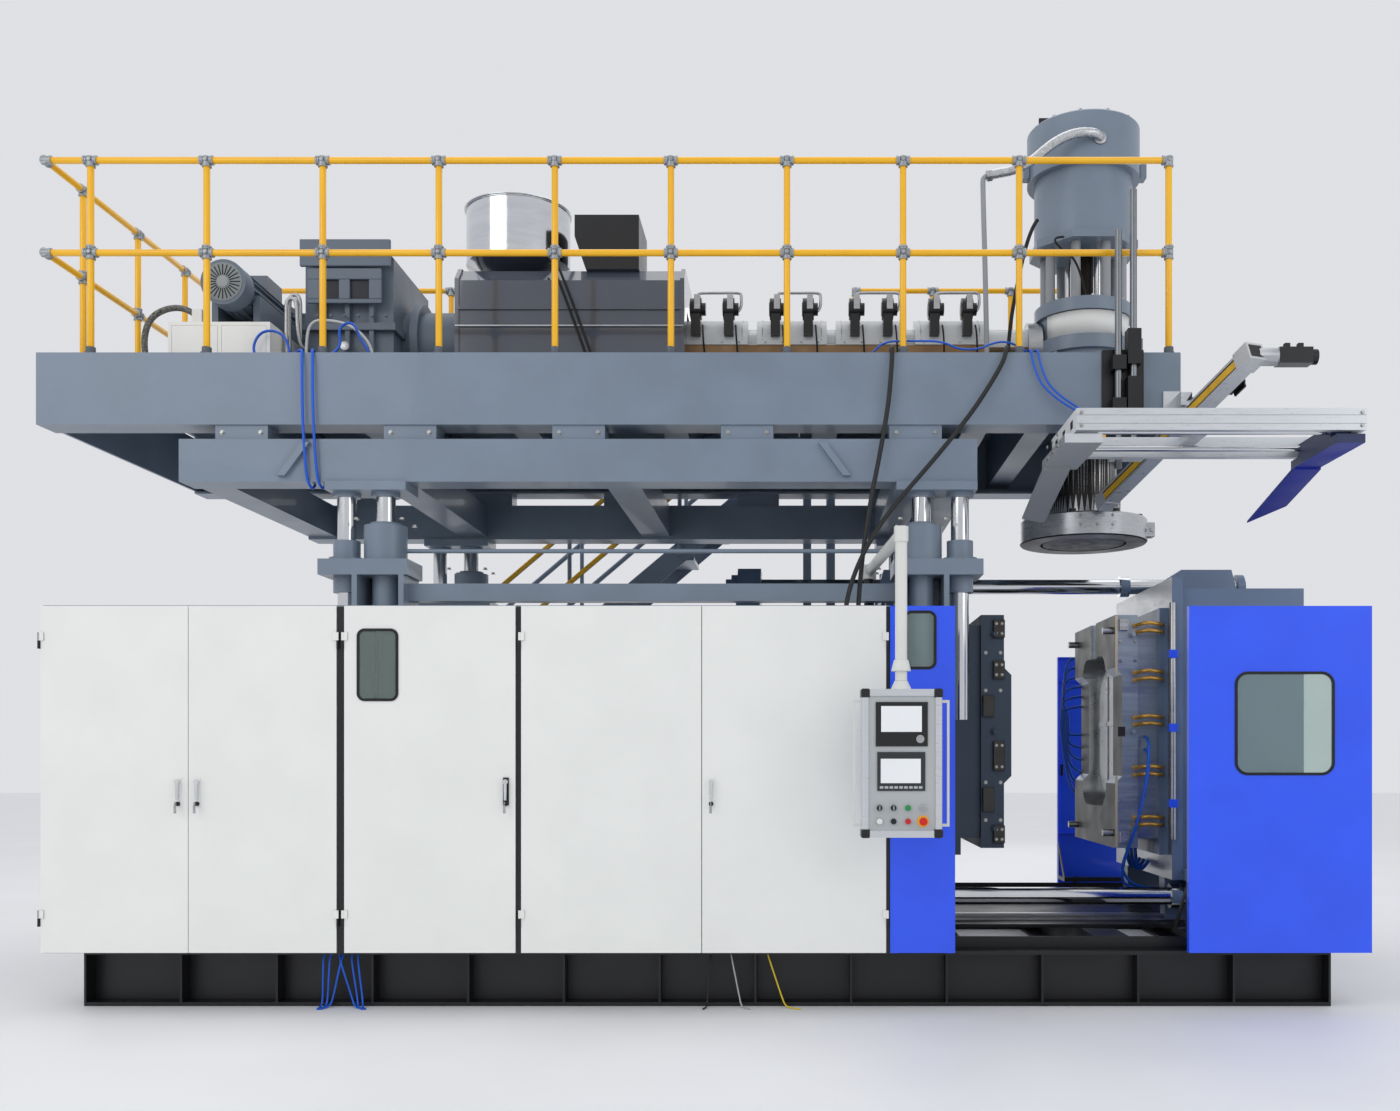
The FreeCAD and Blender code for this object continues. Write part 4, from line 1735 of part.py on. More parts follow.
def pinch_frame():
    """Beam frame on its lifting rods, with shafts, cylinders and end plates."""
    z0, z1 = PINCH_BOTTOM, PINCH_BOTTOM + PINCH_HEIGHT
    beam = PINCH_BEAM
    front = block(PINCH_LEFT, PINCH_RIGHT, PINCH_FRONT, PINCH_FRONT + beam, z0, z1)
    for z in (z0 + 30, z0 + 74):
        front = front.cut(block(PINCH_LEFT - 1, PINCH_RIGHT + 1, PINCH_FRONT - 1,
                                PINCH_FRONT + 4, z, z + 5))
    back = block(PINCH_LEFT, PINCH_RIGHT, PINCH_BACK - beam, PINCH_BACK, z0, z1)
    y = pinch_rod_y()
    foot = block(PINCH_GUIDE_X - 90, PINCH_GUIDE_X + 100, PINCH_BACK, y + 34, z0, z1)
    solids = [front, back, foot]
    for x in (PINCH_LEFT, PINCH_RIGHT - 24):
        solids.append(block(x, x + 24, PINCH_FRONT + beam, PINCH_BACK - beam, z0, z1))
    for shaft_y in jaw_shaft_places():
        solids.append(rod_x(PINCH_LEFT + 24, PINCH_RIGHT - 24, shaft_y, z0 + 28,
                            PINCH_SHAFT_RADIUS))
    middle = (PINCH_LEFT + PINCH_RIGHT) / 2
    for x0, x1 in ((PINCH_LEFT + 24, middle - 40), (middle + 40, PINCH_RIGHT - 24)):
        solids.append(rod_x(x0, x1, PINCH_FRONT + 314, z0 + 90, 21))
    solids.append(block(middle - 40, middle + 40, PINCH_FRONT + beam, PINCH_BACK - beam,
                        z0 + 66, z1))
    for x, top in pinch_rod_places():
        solids.append(rod_z(x, y, z1, top, 20))
    solids.append(rod_z(pinch_rod_places()[0][0], y, z0 - 45, z0, 20))
    return solids


def jaw_shaft_places():
    return (PINCH_FRONT + 150, PINCH_BACK - 130)


def jaw(side):
    """One pinch jaw: slide block on the shafts, carrier plate and sloping blade."""
    if side < 0:
        shoe_x, plate_x = PINCH_LEFT + 31, PINCH_LEFT - 58
    else:
        shoe_x, plate_x = PINCH_RIGHT - 140, PINCH_RIGHT + 1 - JAW_WIDTH
    z0 = PINCH_BOTTOM
    shafts = jaw_shaft_places()
    shoe = block(shoe_x, shoe_x + 106, shafts[0] - 34, shafts[1] + 34, z0 - 14, z0 + 58)
    shoe = shoe.cut([rod_x(shoe_x - 1, shoe_x + 107, y, z0 + 28,
                           PINCH_SHAFT_RADIUS + RUNNING) for y in shafts])
    left = min(plate_x, shoe_x)
    right = max(plate_x + JAW_WIDTH, shoe_x + 106)
    carrier = block(left, right, PINCH_FRONT + 20, PINCH_BACK - 5, z0 - 60, z0 - 14)
    blade = prism_x([(PINCH_BACK - 60, z0 - 72), (PINCH_BACK - 60, z0 - 60),
                     (PINCH_BACK - 10, z0 - 60), (JAW_TIP_Y, JAW_TIP_Z + 12),
                     (JAW_TIP_Y, JAW_TIP_Z)], plate_x, plate_x + JAW_WIDTH)
    inner = plate_x if side > 0 else plate_x + JAW_WIDTH
    outer = plate_x + JAW_WIDTH if side > 0 else plate_x
    reach = 260.0 if side > 0 else 60.0
    corner = prism_z([(outer + side, JAW_TIP_Y - reach), (outer + side, JAW_TIP_Y + 1),
                      (inner, JAW_TIP_Y + 1)], 0, 4000)
    return [shoe.fuse(carrier).removeSplitter(), blade.cut(corner)]


# ---- inclined belt axis ------------------------------------------------------------------------
def belt_frame():
    """Directions of the axis: along it, across it (level) and up from it."""
    near = V(*BELT_NEAR)
    along = (V(*BELT_FAR) - near).normalize()
    across = V(0, 0, 1).cross(along).normalize() * -1
    up = across.cross(along)
    if up.z < 0:
        up = up * -1
    return near, along, across, up


def belt_block(l0, l1, a0, a1, b0, b1):
    """Box in the axis's own directions: along, across and up."""
    near, along, across, up = belt_frame()
    corners = [near + along * l0 + across * a + up * b
               for a, b in ((a0, b0), (a1, b0), (a1, b1), (a0, b1))]
    return Part.Face(Part.makePolygon(corners + [corners[0]])).extrude(along * (l1 - l0))


def belt_length():
    return (V(*BELT_FAR) - V(*BELT_NEAR)).Length


def belt_axis():
    """Grooved profile with pulley boxes, servo and the bracket to the deck."""
    length = belt_length()
    half = BELT_WIDTH / 2
    deep = BELT_DEPTH / 2
    profile = belt_block(60, length - 50, -half, half, -deep, deep)
    groove = belt_block(60, length - 50, -half - 1, -half + 14, -22, 22)
    rail = belt_block(70, length - 60, half, half + 12, -14, 14)
    body = profile.cut(groove)
    near_box = belt_block(-50, 60, -half - 6, half + 6, -deep - 8, deep + 8)
    far_box = belt_block(length - 50, length + 40, -half - 2, half + 2, -deep - 3, deep + 3)
    x, y, z = BELT_NEAR
    gear = rod_x(x + half - 10, x + half + 92, y, z, 46)
    motor = block(x + half + 92, x + half + 268, y - 42, y + 42, z - 42, z + 42)
    motor_end = rod_x(x + half + 268, x + half + 300, y, z, 40)
    drive = gear.cut(near_box).fuse([motor, motor_end]).removeSplitter()
    strap = belt_block(430, 520, -half, half - 10, deep, deep + 18)
    arm = block(DECK_RIGHT - 62, DECK_RIGHT, DECK_FRONT - 217, DECK_FRONT - 12,
                3268, 3338)
    plate = block(DECK_RIGHT - 102, DECK_RIGHT, DECK_FRONT - 12, DECK_FRONT,
                  DECK_BOTTOM + 26, DECK_BOTTOM + 186)
    bracket = strap.fuse([arm, plate]).cut(belt_block(0, length, -half, half + 60, -deep, deep))
    return [body, rail, near_box, far_box, drive, bracket.removeSplitter()]


def belt_carriage():
    """Carriage on the rail of the belt axis with its tool plate."""
    half = BELT_WIDTH / 2
    body = belt_block(150, 270, half + 1, half + 34, -30, 30)
    slot = belt_block(140, 280, half - 1, half + 12 + RUNNING, -14 - RUNNING, 14 + RUNNING)
    plate = belt_block(165, 255, half + 34, half + 44, -50, 50)
    return [body.cut(slot).fuse(plate)]


# ---- cables and hoses -------------------------------------------------------------------------
def tube(points, radius, bend):
    """Eight-sided cord along straight stretches joined by arcs of the bend radius."""
    route = [V(*point) for point in points]
    edges = []
    start = route[0]
    for a, b, c in zip(route, route[1:], route[2:]):
        into = (b - a).normalize()
        out = (c - b).normalize()
        half = into.getAngle(out) / 2
        reach = min(bend * math.tan(half), 0.47 * (b - a).Length, 0.47 * (c - b).Length)
        curve = reach / math.tan(half)
        inward = (out - into).normalize()
        middle = b + inward * (curve / math.cos(half) - curve)
        end = b + out * reach
        edges.append(Part.makeLine(start, b - into * reach))
        edges.append(Part.Arc(b - into * reach, middle, end).toShape())
        start = end
    edges.append(Part.makeLine(start, route[-1]))
    first = (route[1] - route[0]).normalize()
    across = first.cross(V(0, 0, 1) if abs(first.z) < 0.9 else V(1, 0, 0)).normalize()
    other = first.cross(across)
    ring = []
    for step in range(9):
        angle = math.radians(45 * step)
        ring.append(route[0] + across * (radius * math.cos(angle))
                    + other * (radius * math.sin(angle)))
    return Part.Wire(edges).makePipeShell([Part.makePolygon(ring)], True, False)


def supply_cables():
    """Two cables from the deck's edge down to the glands on the cabinet roof."""
    roof = CABINET_TOP
    edge = DECK_FRONT - 14
    first = [(1017, DECK_FRONT + 190, FLOOR + 16), (1016, DECK_FRONT + 60, FLOOR + 34),
             (1014, edge - 14, FLOOR + 26), (1010, edge - 24, 3540),
             (985, edge - 24, 3250), (834, -1200, 2500), (812, -1240, roof + 22)]
    second = [(1683, DECK_FRONT + 190, FLOOR + 16), (1676, DECK_FRONT + 60, FLOOR + 34),
              (1668, edge - 14, FLOOR + 26), (1640, edge - 26, 3540),
              (1400, edge - 60, 3170), (780, -1290, 2450), (740, -1300, roof + 22)]
    solids = []
    for route in (first, second):
        cable = tube(route, CABLE_RADIUS, CABLE_BEND)
        x, y, z = route[-1]
        solids += [cable, rod_z(x, y, roof, roof + 22, CABLE_RADIUS + 9).cut(cable)]
    return solids


def air_hoses():
    """Two blue hoses from the deck's edge to the pinch frame."""
    top = PINCH_BOTTOM + PINCH_HEIGHT
    solids = []
    for shift in (0, 40):
        route = [(1790 + shift, DECK_FRONT + 150, FLOOR + 8),
                 (1796 + shift, DECK_FRONT + 40, FLOOR + 20),
                 (1804 + shift, DECK_FRONT - 20, FLOOR + 14),
                 (1816 + shift, DECK_FRONT - 28, 3540),
                 (1880 + shift, DECK_FRONT - 38, 3390),
                 (2150 + shift, PINCH_BACK - 20, top + 90),
                 (2160 + shift, PINCH_BACK - 22, top + 14)]
        solids.append(tube(route, HOSE_RADIUS, HOSE_BEND))
        x, y, z = route[-1]
        solids.append(rod_z(x, y, top, top + 14, HOSE_RADIUS + 4))
    return solids


# ---- the whole -------------------------------------------------------------------------------
def build():
    os.makedirs("parts", exist_ok=True)
    save("base_frame", base_frame())
    save("cabinet_frame", cabinet_frame() + [arm_post()])
    save("cabinet_panels", cabinet_panels())
    save("power_pack", power_pack())
    save("switchgear", switchgear())
    save("centre_guards", centre_guards())
    save("lift_columns", lift_columns())
    save("bed_rails", bed_rails())
    save("rear_stair", rear_stair())
    save("lift_frame", lift_frame())
    save("lift_rods", lift_rods())
    save("deck_frame", deck_frame())
    save("guard_rails", guard_rails())
    save("rail_clamps", rail_clamps())
    save("gearbox", gearbox())
    save("drive_motor", drive_motor())
    save("service_box", service_box())
    save("heated_barrel", heated_barrel())
    save("barrel_cover", barrel_cover())
    save("hopper", hopper())
    save("blowers", blowers())
    save("head_body", head_body())
    save("head_top", head_top())
    save("die_ring", die_ring())
    save("die_pin", die_pin())
    save("push_rods", push_rods())
    save("pinch_guide", pinch_guide())
    save("belt_axis", belt_axis())
    save("belt_carriage", belt_carriage())
    for index in range(len(DOOR_WIDTHS)):
        save("door_%d" % (index + 1), door(index))
        if DOOR_HANDLE_SIDES[index]:
            save("handle_%d" % (index + 1), door_handle(index))
    front_gate = gate()
    save("front_gate", front_gate)
    save("rear_gate", [piece.mirror(V(0, 0, 0), V(0, 1, 0)) for piece in front_gate])
    save("right_platen", right_platen())
    save("left_platen", left_platen())
    save("tie_bars", tie_bars())
    save("right_mould", mould(1))
    save("left_mould", mould(-1))
    save("hmi_arm", hmi_arm())
    save("hmi_box", hmi_box())
    names = ("selector_1", "selector_2", "push_green", "key_switch",
             "push_white", "push_black", "push_red", "emergency_stop")
    for index, name in enumerate(names):
        save(name, control(index))
    save("pinch_frame", pinch_frame())
    save("left_jaw", jaw(-1))
    save("right_jaw", jaw(1))
    save("supply_cables", supply_cables())
    save("air_hoses", air_hoses())


build()
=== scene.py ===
import math

import bpy
from mathutils import Matrix, Vector


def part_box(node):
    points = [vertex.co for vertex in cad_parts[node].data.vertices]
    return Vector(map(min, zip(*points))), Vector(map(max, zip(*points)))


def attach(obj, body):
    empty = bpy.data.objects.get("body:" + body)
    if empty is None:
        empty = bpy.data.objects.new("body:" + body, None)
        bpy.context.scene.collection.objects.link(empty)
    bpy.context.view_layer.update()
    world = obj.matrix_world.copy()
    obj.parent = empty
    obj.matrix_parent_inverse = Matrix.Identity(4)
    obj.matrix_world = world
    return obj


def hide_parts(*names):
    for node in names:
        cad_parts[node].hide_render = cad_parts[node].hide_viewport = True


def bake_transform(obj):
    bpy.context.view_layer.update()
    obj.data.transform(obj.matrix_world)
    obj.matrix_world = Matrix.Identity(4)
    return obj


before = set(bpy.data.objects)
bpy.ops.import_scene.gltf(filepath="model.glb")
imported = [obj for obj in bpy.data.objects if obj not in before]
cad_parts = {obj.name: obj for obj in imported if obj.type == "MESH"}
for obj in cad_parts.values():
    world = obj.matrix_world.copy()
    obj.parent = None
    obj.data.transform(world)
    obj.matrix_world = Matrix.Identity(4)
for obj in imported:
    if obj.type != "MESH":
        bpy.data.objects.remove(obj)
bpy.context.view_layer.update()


# ---- The place it stands in: a pale painted floor, soft light from three sides, and an eye
# that stands in front of the machine, right of its middle, with a shifted lens.
def daylight(name, place, target, size, power):
    """A soft rectangular lamp, turned to what it lights."""
    bpy.ops.object.light_add(type="AREA", location=place)
    lamp = bpy.context.object
    lamp.name = name
    lamp.data.shape = "RECTANGLE"
    lamp.data.size, lamp.data.size_y = size
    lamp.data.energy = power
    aim = Vector(target) - Vector(place)
    lamp.rotation_euler = aim.to_track_quat("-Z", "Y").to_euler()
    return lamp


bpy.ops.object.select_all(action="DESELECT")
daylight("softbox_left", (-7.5, -9.5, 7.5), (-0.5, 0.0, 2.2), (7.0, 5.0), 200)
daylight("softbox_right", (8.5, -8.0, 5.5), (1.5, 0.0, 2.0), (5.0, 5.0), 90)
daylight("softbox_top", (0.0, 1.0, 10.5), (0.0, 0.0, 2.0), (10.0, 6.0), 170)
daylight("softbox_back", (2.0, 11.0, 5.5), (0.0, 0.0, 2.5), (9.0, 5.0), 90)
surround = bpy.data.worlds.new("surround")
bpy.context.scene.world = surround
bpy.context.scene.view_settings.view_transform = "Standard"
surround.use_nodes = True
surround.node_tree.nodes["Background"].inputs["Color"].default_value = (0.95, 0.96, 1.0, 1)
surround.node_tree.nodes["Background"].inputs["Strength"].default_value = 0.78

bpy.ops.object.camera_add(location=(0.488, -8.5, 1.309), rotation=(math.radians(90), 0, 0))
eye = bpy.context.object
eye.data.sensor_width = 36.0
eye.data.lens = 33.43
eye.data.shift_x = -0.0714
eye.data.shift_y = 0.1446
eye.data.clip_end = 200
bpy.context.scene.camera = eye


def shade(red, green, blue):
    """A colour as it looks, for the light's own arithmetic."""
    return tuple((c / 255.0) ** 2.2 for c in (red, green, blue)) + (1.0,)


def coat(name, colour, metallic=0.0, rough=0.45, cloud=3.0, shift=0.08, grain=220.0,
         relief=0.04, stretch=(1.0, 1.0, 1.0), clear=0.0):
    """A finish whose tone, gloss and relief vary over the piece."""
    material = bpy.data.materials.new(name)
    material.use_nodes = True
    nodes = material.node_tree.nodes
    links = material.node_tree.links
    surface = nodes["Principled BSDF"]
    place = nodes.new("ShaderNodeTexCoord")
    spread = nodes.new("ShaderNodeMapping")
    spread.inputs["Scale"].default_value = stretch
    links.new(place.outputs["Object"], spread.inputs["Vector"])
    patches = nodes.new("ShaderNodeTexNoise")
    patches.inputs["Scale"].default_value = cloud
    patches.inputs["Detail"].default_value = 7.0
    links.new(spread.outputs["Vector"], patches.inputs["Vector"])
    tone = nodes.new("ShaderNodeValToRGB")
    tone.color_ramp.elements[0].position = 0.34
    tone.color_ramp.elements[1].position = 0.68
    tone.color_ramp.elements[0].color = tuple(c * (1 - shift) for c in colour[:3]) + (1.0,)
    tone.color_ramp.elements[1].color = tuple(min(c * (1 + shift), 1) for c in colour[:3]) + (1.0,)
    links.new(patches.outputs["Fac"], tone.inputs["Fac"])
    links.new(tone.outputs["Color"], surface.inputs["Base Color"])
    gloss = nodes.new("ShaderNodeMapRange")
    gloss.inputs["From Min"].default_value = 0.3
    gloss.inputs["From Max"].default_value = 0.7
    gloss.inputs["To Min"].default_value = rough * 0.82
    gloss.inputs["To Max"].default_value = min(rough * 1.2, 1.0)
    links.new(patches.outputs["Fac"], gloss.inputs["Value"])
    links.new(gloss.outputs["Result"], surface.inputs["Roughness"])
    fine = nodes.new("ShaderNodeTexNoise")
    fine.inputs["Scale"].default_value = grain
    fine.inputs["Detail"].default_value = 3.0
    links.new(spread.outputs["Vector"], fine.inputs["Vector"])
    bump = nodes.new("ShaderNodeBump")
    bump.inputs["Strength"].default_value = relief
    bump.inputs["Distance"].default_value = 0.002
    links.new(fine.outputs["Fac"], bump.inputs["Height"])
    links.new(bump.outputs["Normal"], surface.inputs["Normal"])
    surface.inputs["Metallic"].default_value = metallic
    surface.inputs["Coat Weight"].default_value = clear
    return material


bpy.ops.mesh.primitive_plane_add(size=80, location=(0, 0, -0.001))
floor = bpy.context.object
floor.name = "floor"
bpy.ops.object.mode_set(mode="EDIT")
bpy.ops.mesh.subdivide(number_cuts=8)
bpy.ops.object.mode_set(mode="OBJECT")
floor.data.materials.append(coat("floor_paint", shade(240, 241, 242), rough=0.55, cloud=0.6,
                                 shift=0.02, grain=30, relief=0.02))


# ---- The base: two long H-beams and their cross beams, welded and painted satin black by
# roller, so that gloss and tone change a little.  Steel bed rails are screwed on top.
def dress(node, material, where=None):
    """Lay a finish on all of a node, or on the faces whose middle and normal pass."""
    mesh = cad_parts[node].data
    if where is None:
        mesh.materials.clear()
        mesh.materials.append(material)
        for face in mesh.polygons:
            face.material_index = 0
        return
    mesh.materials.append(material)
    index = len(mesh.materials) - 1
    for face in mesh.polygons:
        if where(face.center, face.normal):
            face.material_index = index


black_paint = coat("black_paint", shade(21, 22, 24), rough=0.42, shift=0.18)
steel = coat("bare_steel", shade(176, 178, 180), metallic=1.0, rough=0.34, cloud=9,
             shift=0.1, grain=400, stretch=(1, 1, 6))
dress("base_frame", black_paint)
dress("bed_rails", steel)
dress("bed_rails", black_paint, lambda c, n: abs(c.y) > 1.0)


# ---- The lift: four slate column channels, each with a hydraulic cylinder, hard-chromed
# piston and guide rods, and the box-beam frame they carry, with bolted plates and pads.
slate_paint = coat("slate_paint", shade(120, 134, 150), rough=0.4, shift=0.07, clear=0.15)
chrome = coat("hard_chrome", shade(206, 208, 210), metallic=1.0, rough=0.12, cloud=5,
              shift=0.05, grain=500, relief=0.01)
dress("lift_columns", slate_paint)
dress("lift_columns", black_paint, lambda c, n: c.z < 0.5)
dress("lift_rods", chrome)
dress("lift_rods", slate_paint, lambda c, n: c.z > 2.785)
dress("lift_frame", slate_paint)


def gather(name, pieces, body):
    """Like pieces that are fixed together become one."""
    bpy.ops.object.select_all(action="DESELECT")
    for piece in pieces:
        piece.select_set(True)
    bpy.context.view_layer.objects.active = pieces[0]
    bpy.ops.object.join()
    pieces[0].name = name
    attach(pieces[0], body)
    return pieces[0]


def copies(pattern, places):
    """The pattern piece again at each place or turn, every copy with its own mesh."""
    again = []
    for place in places:
        piece = pattern.copy()
        piece.data = pattern.data.copy()
        bpy.context.collection.objects.link(piece)
        if not isinstance(place, Matrix):
            place = Matrix.Translation(Vector(place))
        piece.data.transform(place)
        again.append(piece)
    bpy.data.objects.remove(pattern)
    return again


def bolts(name, places, facing, radius, height, material, body):
    """Hexagon heads on their washers: one is made, the rest are copies of it."""
    bpy.ops.object.select_all(action="DESELECT")
    bpy.ops.mesh.primitive_cylinder_add(vertices=6, radius=radius, depth=height)
    first = bpy.context.object
    bpy.ops.object.mode_set(mode="EDIT")
    bpy.ops.mesh.select_all(action="SELECT")
    bpy.ops.mesh.bevel(offset=radius * 0.12, segments=1, affect="EDGES")
    bpy.ops.mesh.primitive_cylinder_add(vertices=20, radius=radius * 1.25,
                                        depth=height * 0.25,
                                        location=(0, 0, -height * 0.4))
    bpy.ops.object.mode_set(mode="OBJECT")
    turn = Vector(facing).to_track_quat("Z", "Y").to_matrix().to_4x4()
    first.data.transform(turn @ Matrix.Translation((0, 0, height / 2)))
    first.data.materials.append(material)
    return gather(name, copies(first, places), body)


zinc = coat("zinc_plated", shade(170, 172, 168), metallic=1.0, rough=0.3, cloud=14, shift=0.1)
low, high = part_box("lift_columns")
for end, x in (("left", low.x + 0.341), ("right", high.x - 0.341)):
    for side, y in (("front", low.y + 0.17), ("back", high.y - 0.17)):
        bolts("head_plate_bolts_" + end + "_" + side,
              [(x + dx, y + dy, high.z + 0.002) for dx in (-0.13, 0.13)
               for dy in (-0.12, 0.12)], (0, 0, 1), 0.013, 0.014, zinc, "base")
pad_places = (-2.708, -1.744, -0.779, 0.186, 1.15)
bolts("rail_pad_bolts", [(x + dx, -1.06, 3.172) for x in pad_places for dx in (-0.11, 0.11)],
      (0, -1, 0), 0.011, 0.012, zinc, "lifting_frame")


# ---- The cabinets along the front: folded steel doors in satin off-white, each hung on its
# own edge with a narrow dark joint between, one with a rubber-framed window.
def plate(name, low, high, edge, material, body):
    """A flat or square-edged piece with its edges broken."""
    bpy.ops.object.select_all(action="DESELECT")
    bpy.ops.mesh.primitive_cube_add(size=1)
    piece = bpy.context.object
    piece.name = name
    bpy.ops.object.mode_set(mode="EDIT")
    bpy.ops.mesh.select_all(action="SELECT")
    bpy.ops.transform.resize(value=[b - a for a, b in zip(low, high)])
    bpy.ops.transform.translate(value=[(a + b) / 2 for a, b in zip(low, high)])
    bpy.ops.mesh.bevel(offset=edge, segments=2, affect="EDGES")
    bpy.ops.object.mode_set(mode="OBJECT")
    piece.data.materials.append(material)
    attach(piece, body)
    return piece


door_white = coat("door_paint", shade(240, 241, 237), rough=0.36, shift=0.02, grain=500,
                  relief=0.02, clear=0.2)
rubber = coat("black_rubber", shade(26, 27, 29), rough=0.7, shift=0.15, grain=260, relief=0.1)
black_plastic = coat("black_plastic", shade(24, 25, 27), rough=0.32, shift=0.12, grain=320)
glass = coat("window_glass", shade(196, 214, 208), rough=0.04, cloud=2, shift=0.03,
             relief=0.0)
glass.node_tree.nodes["Principled BSDF"].inputs["Transmission Weight"].default_value = 0.82
glass.node_tree.nodes["Principled BSDF"].inputs["IOR"].default_value = 1.3
lever_silver = coat("lever_silver", shade(214, 216, 218), metallic=0.75, rough=0.28, cloud=18,
                    shift=0.06)


def within(c, edges, inset=0.0):
    """Whether a point seen from the front lies inside the left, right, low and high edges."""
    left, right, lower, upper = edges
    return left + inset < c.x < right - inset and lower + inset < c.z < upper - inset


dress("cabinet_frame", black_paint)
dress("cabinet_frame", door_white, lambda c, n: c.z > 2.101)
dress("cabinet_panels", door_white)
for number in (1, 2, 3, 4, 5):
    dress("door_%d" % number, door_white)
    dress("door_%d" % number, zinc,
          lambda c, n: c.y < -1.7405 and (c.x < -3.465 or abs(n.y) < 0.3) and abs(c.z - 1.2) > 0.3)
    if number != 4:
        dress("handle_%d" % number, lever_silver)
door_window, lever_plate = (-1.818, -1.598, 1.602, 1.984), (-1.056, -1.024, 1.062, 1.208)
dress("door_3", rubber, lambda c, n: within(c, door_window)
      and (c.y < -1.7405 or -1.739 < c.y < -1.7325))
dress("door_3", glass, lambda c, n: within(c, door_window, 0.015) and -1.7415 < c.y < -1.7355)
dress("door_3", black_plastic, lambda c, n: within(c, lever_plate) and c.y < -1.7401)
plate("roof_edge_trim", (-3.463, -1.7145, 2.1005), (0.957, -1.7, 2.106), 0.002, slate_paint,
      "base")


# ---- Behind the doors: the power pack's painted tank with its grey pump and motor, and a
# galvanised plate with rows of grey and black switchgear, clipped to rails.
grey_part = coat("grey_housing", shade(150, 154, 158), rough=0.45, shift=0.05)
galvanised = coat("galvanised_sheet", shade(188, 192, 194), metallic=0.9, rough=0.4,
                  cloud=22, shift=0.12)
dress("power_pack", slate_paint)
dress("power_pack", grey_part, lambda c, n: c.z > 1.0 or c.x > -2.2)
dress("switchgear", grey_part)
dress("switchgear", galvanised, lambda c, n: c.y > -1.19)
dress("switchgear", black_plastic, lambda c, n: n.y < -0.9 and int(c.z * 20) % 3 == 0)


# ---- The door locks: black cylinder locks pressed into the doors below their levers, each
# with a stamped steel key in it and a spare key hanging from that one.
def turned(name, start, end, radius, edge, material, body, sides=32, end_radius=None):
    """A lathe-turned piece between two points, its end edges chamfered."""
    start, end = Vector(start), Vector(end)
    bpy.ops.object.select_all(action="DESELECT")
    bpy.ops.mesh.primitive_cone_add(vertices=sides, radius1=radius,
                                    radius2=radius if end_radius is None else end_radius,
                                    depth=(end - start).length)
    piece = bpy.context.object
    piece.name = name
    bpy.ops.object.mode_set(mode="EDIT")
    bpy.ops.mesh.select_mode(type="FACE")
    bpy.ops.mesh.select_all(action="DESELECT")
    bpy.ops.object.mode_set(mode="OBJECT")
    for face in piece.data.polygons:
        face.select = abs(face.normal.z) > 0.99
    bpy.ops.object.mode_set(mode="EDIT")
    bpy.ops.mesh.region_to_loop()
    bpy.ops.mesh.bevel(offset=edge, segments=2, affect="EDGES")
    bpy.ops.object.mode_set(mode="OBJECT")
    turn = (end - start).to_track_quat("Z", "Y").to_matrix().to_4x4()
    piece.data.transform(Matrix.Translation((start + end) / 2) @ turn)
    bpy.ops.object.shade_smooth_by_angle(angle=math.radians(35))
    piece.data.materials.append(material)
    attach(piece, body)
    return piece


def middle(node):
    """The middle of one of the machine's pieces, as it rests."""
    low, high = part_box(node)
    return (low + high) / 2


lock_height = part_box("handle_1")[0].z - 0.018
lock = turned("lock", (0, -1.7405, lock_height), (0, -1.7545, lock_height), 0.012, 0.002,
              black_plastic, "door_1")
blade = plate("key_blade", (-0.0012, -1.7685, lock_height - 0.005),
              (0.0012, -1.7535, lock_height + 0.005), 0.0004, steel, "door_1")
head = turned("key_head", (-0.0015, -1.778, lock_height), (0.0015, -1.778, lock_height), 0.0115,
              0.0005, steel, "door_1", sides=20)
tag = plate("spare_key", (-0.008, -1.7795, lock_height - 0.049),
            (0.006, -1.7765, lock_height - 0.008), 0.001, steel, "door_1")
lock = gather("lock_and_keys", [lock, blade, head, tag], "door_1")
lever_doors = (1, 2, 3, 5)
locks = copies(lock, [(middle("handle_%d" % number).x, 0, 0) for number in lever_doors])
for number, lock in zip(lever_doors, locks):
    lock.name = "lock_and_keys_%d" % number
    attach(lock, "door_%d" % number)


# ---- The sliding gates and the fixed guard: royal blue sheet panels with rounded windows
# held in black rubber, on rollers in a floor track.
blue_paint = coat("royal_blue_paint", shade(40, 88, 252), rough=0.34, shift=0.06, clear=0.25)
for node in ("centre_guards", "front_gate", "rear_gate"):
    dress(node, blue_paint)
dress("centre_guards", slate_paint, lambda c, n: abs(c.y) < 1.7145)
guard_window, gate_window = (1.028, 1.198, 1.770, 2.075), (2.749, 3.268, 1.219, 1.758)
for node, window in (("centre_guards", guard_window), ("front_gate", gate_window),
                     ("rear_gate", gate_window)):
    dress(node, rubber, lambda c, n: within(c, window, -0.001) and abs(c.y) > 1.7318)
    dress(node, glass, lambda c, n: within(c, window, 0.013) and 1.7355 < abs(c.y) < 1.7415)
for node in ("front_gate", "rear_gate"):
    dress(node, black_paint, lambda c, n: abs(c.y) < 1.699)
plate("rear_gate_latch", (2.530, 1.6890, 1.170), (2.552, 1.6995, 1.260), 0.003, black_plastic,
      "rear_gate")


# ---- The lifted deck: channel sections round a ribbed floor, slate below, with a rolled
# non-slip tread plate on top that shows at the stair.
dress("deck_frame", slate_paint)
tread = coat("tread_plate", shade(120, 124, 128), metallic=0.7, rough=0.42, cloud=8, shift=0.1,
             grain=55, relief=0.5, stretch=(1, 2.4, 1))
dress("deck_frame", tread, lambda c, n: n.z > 0.9 and c.z > 3.62)


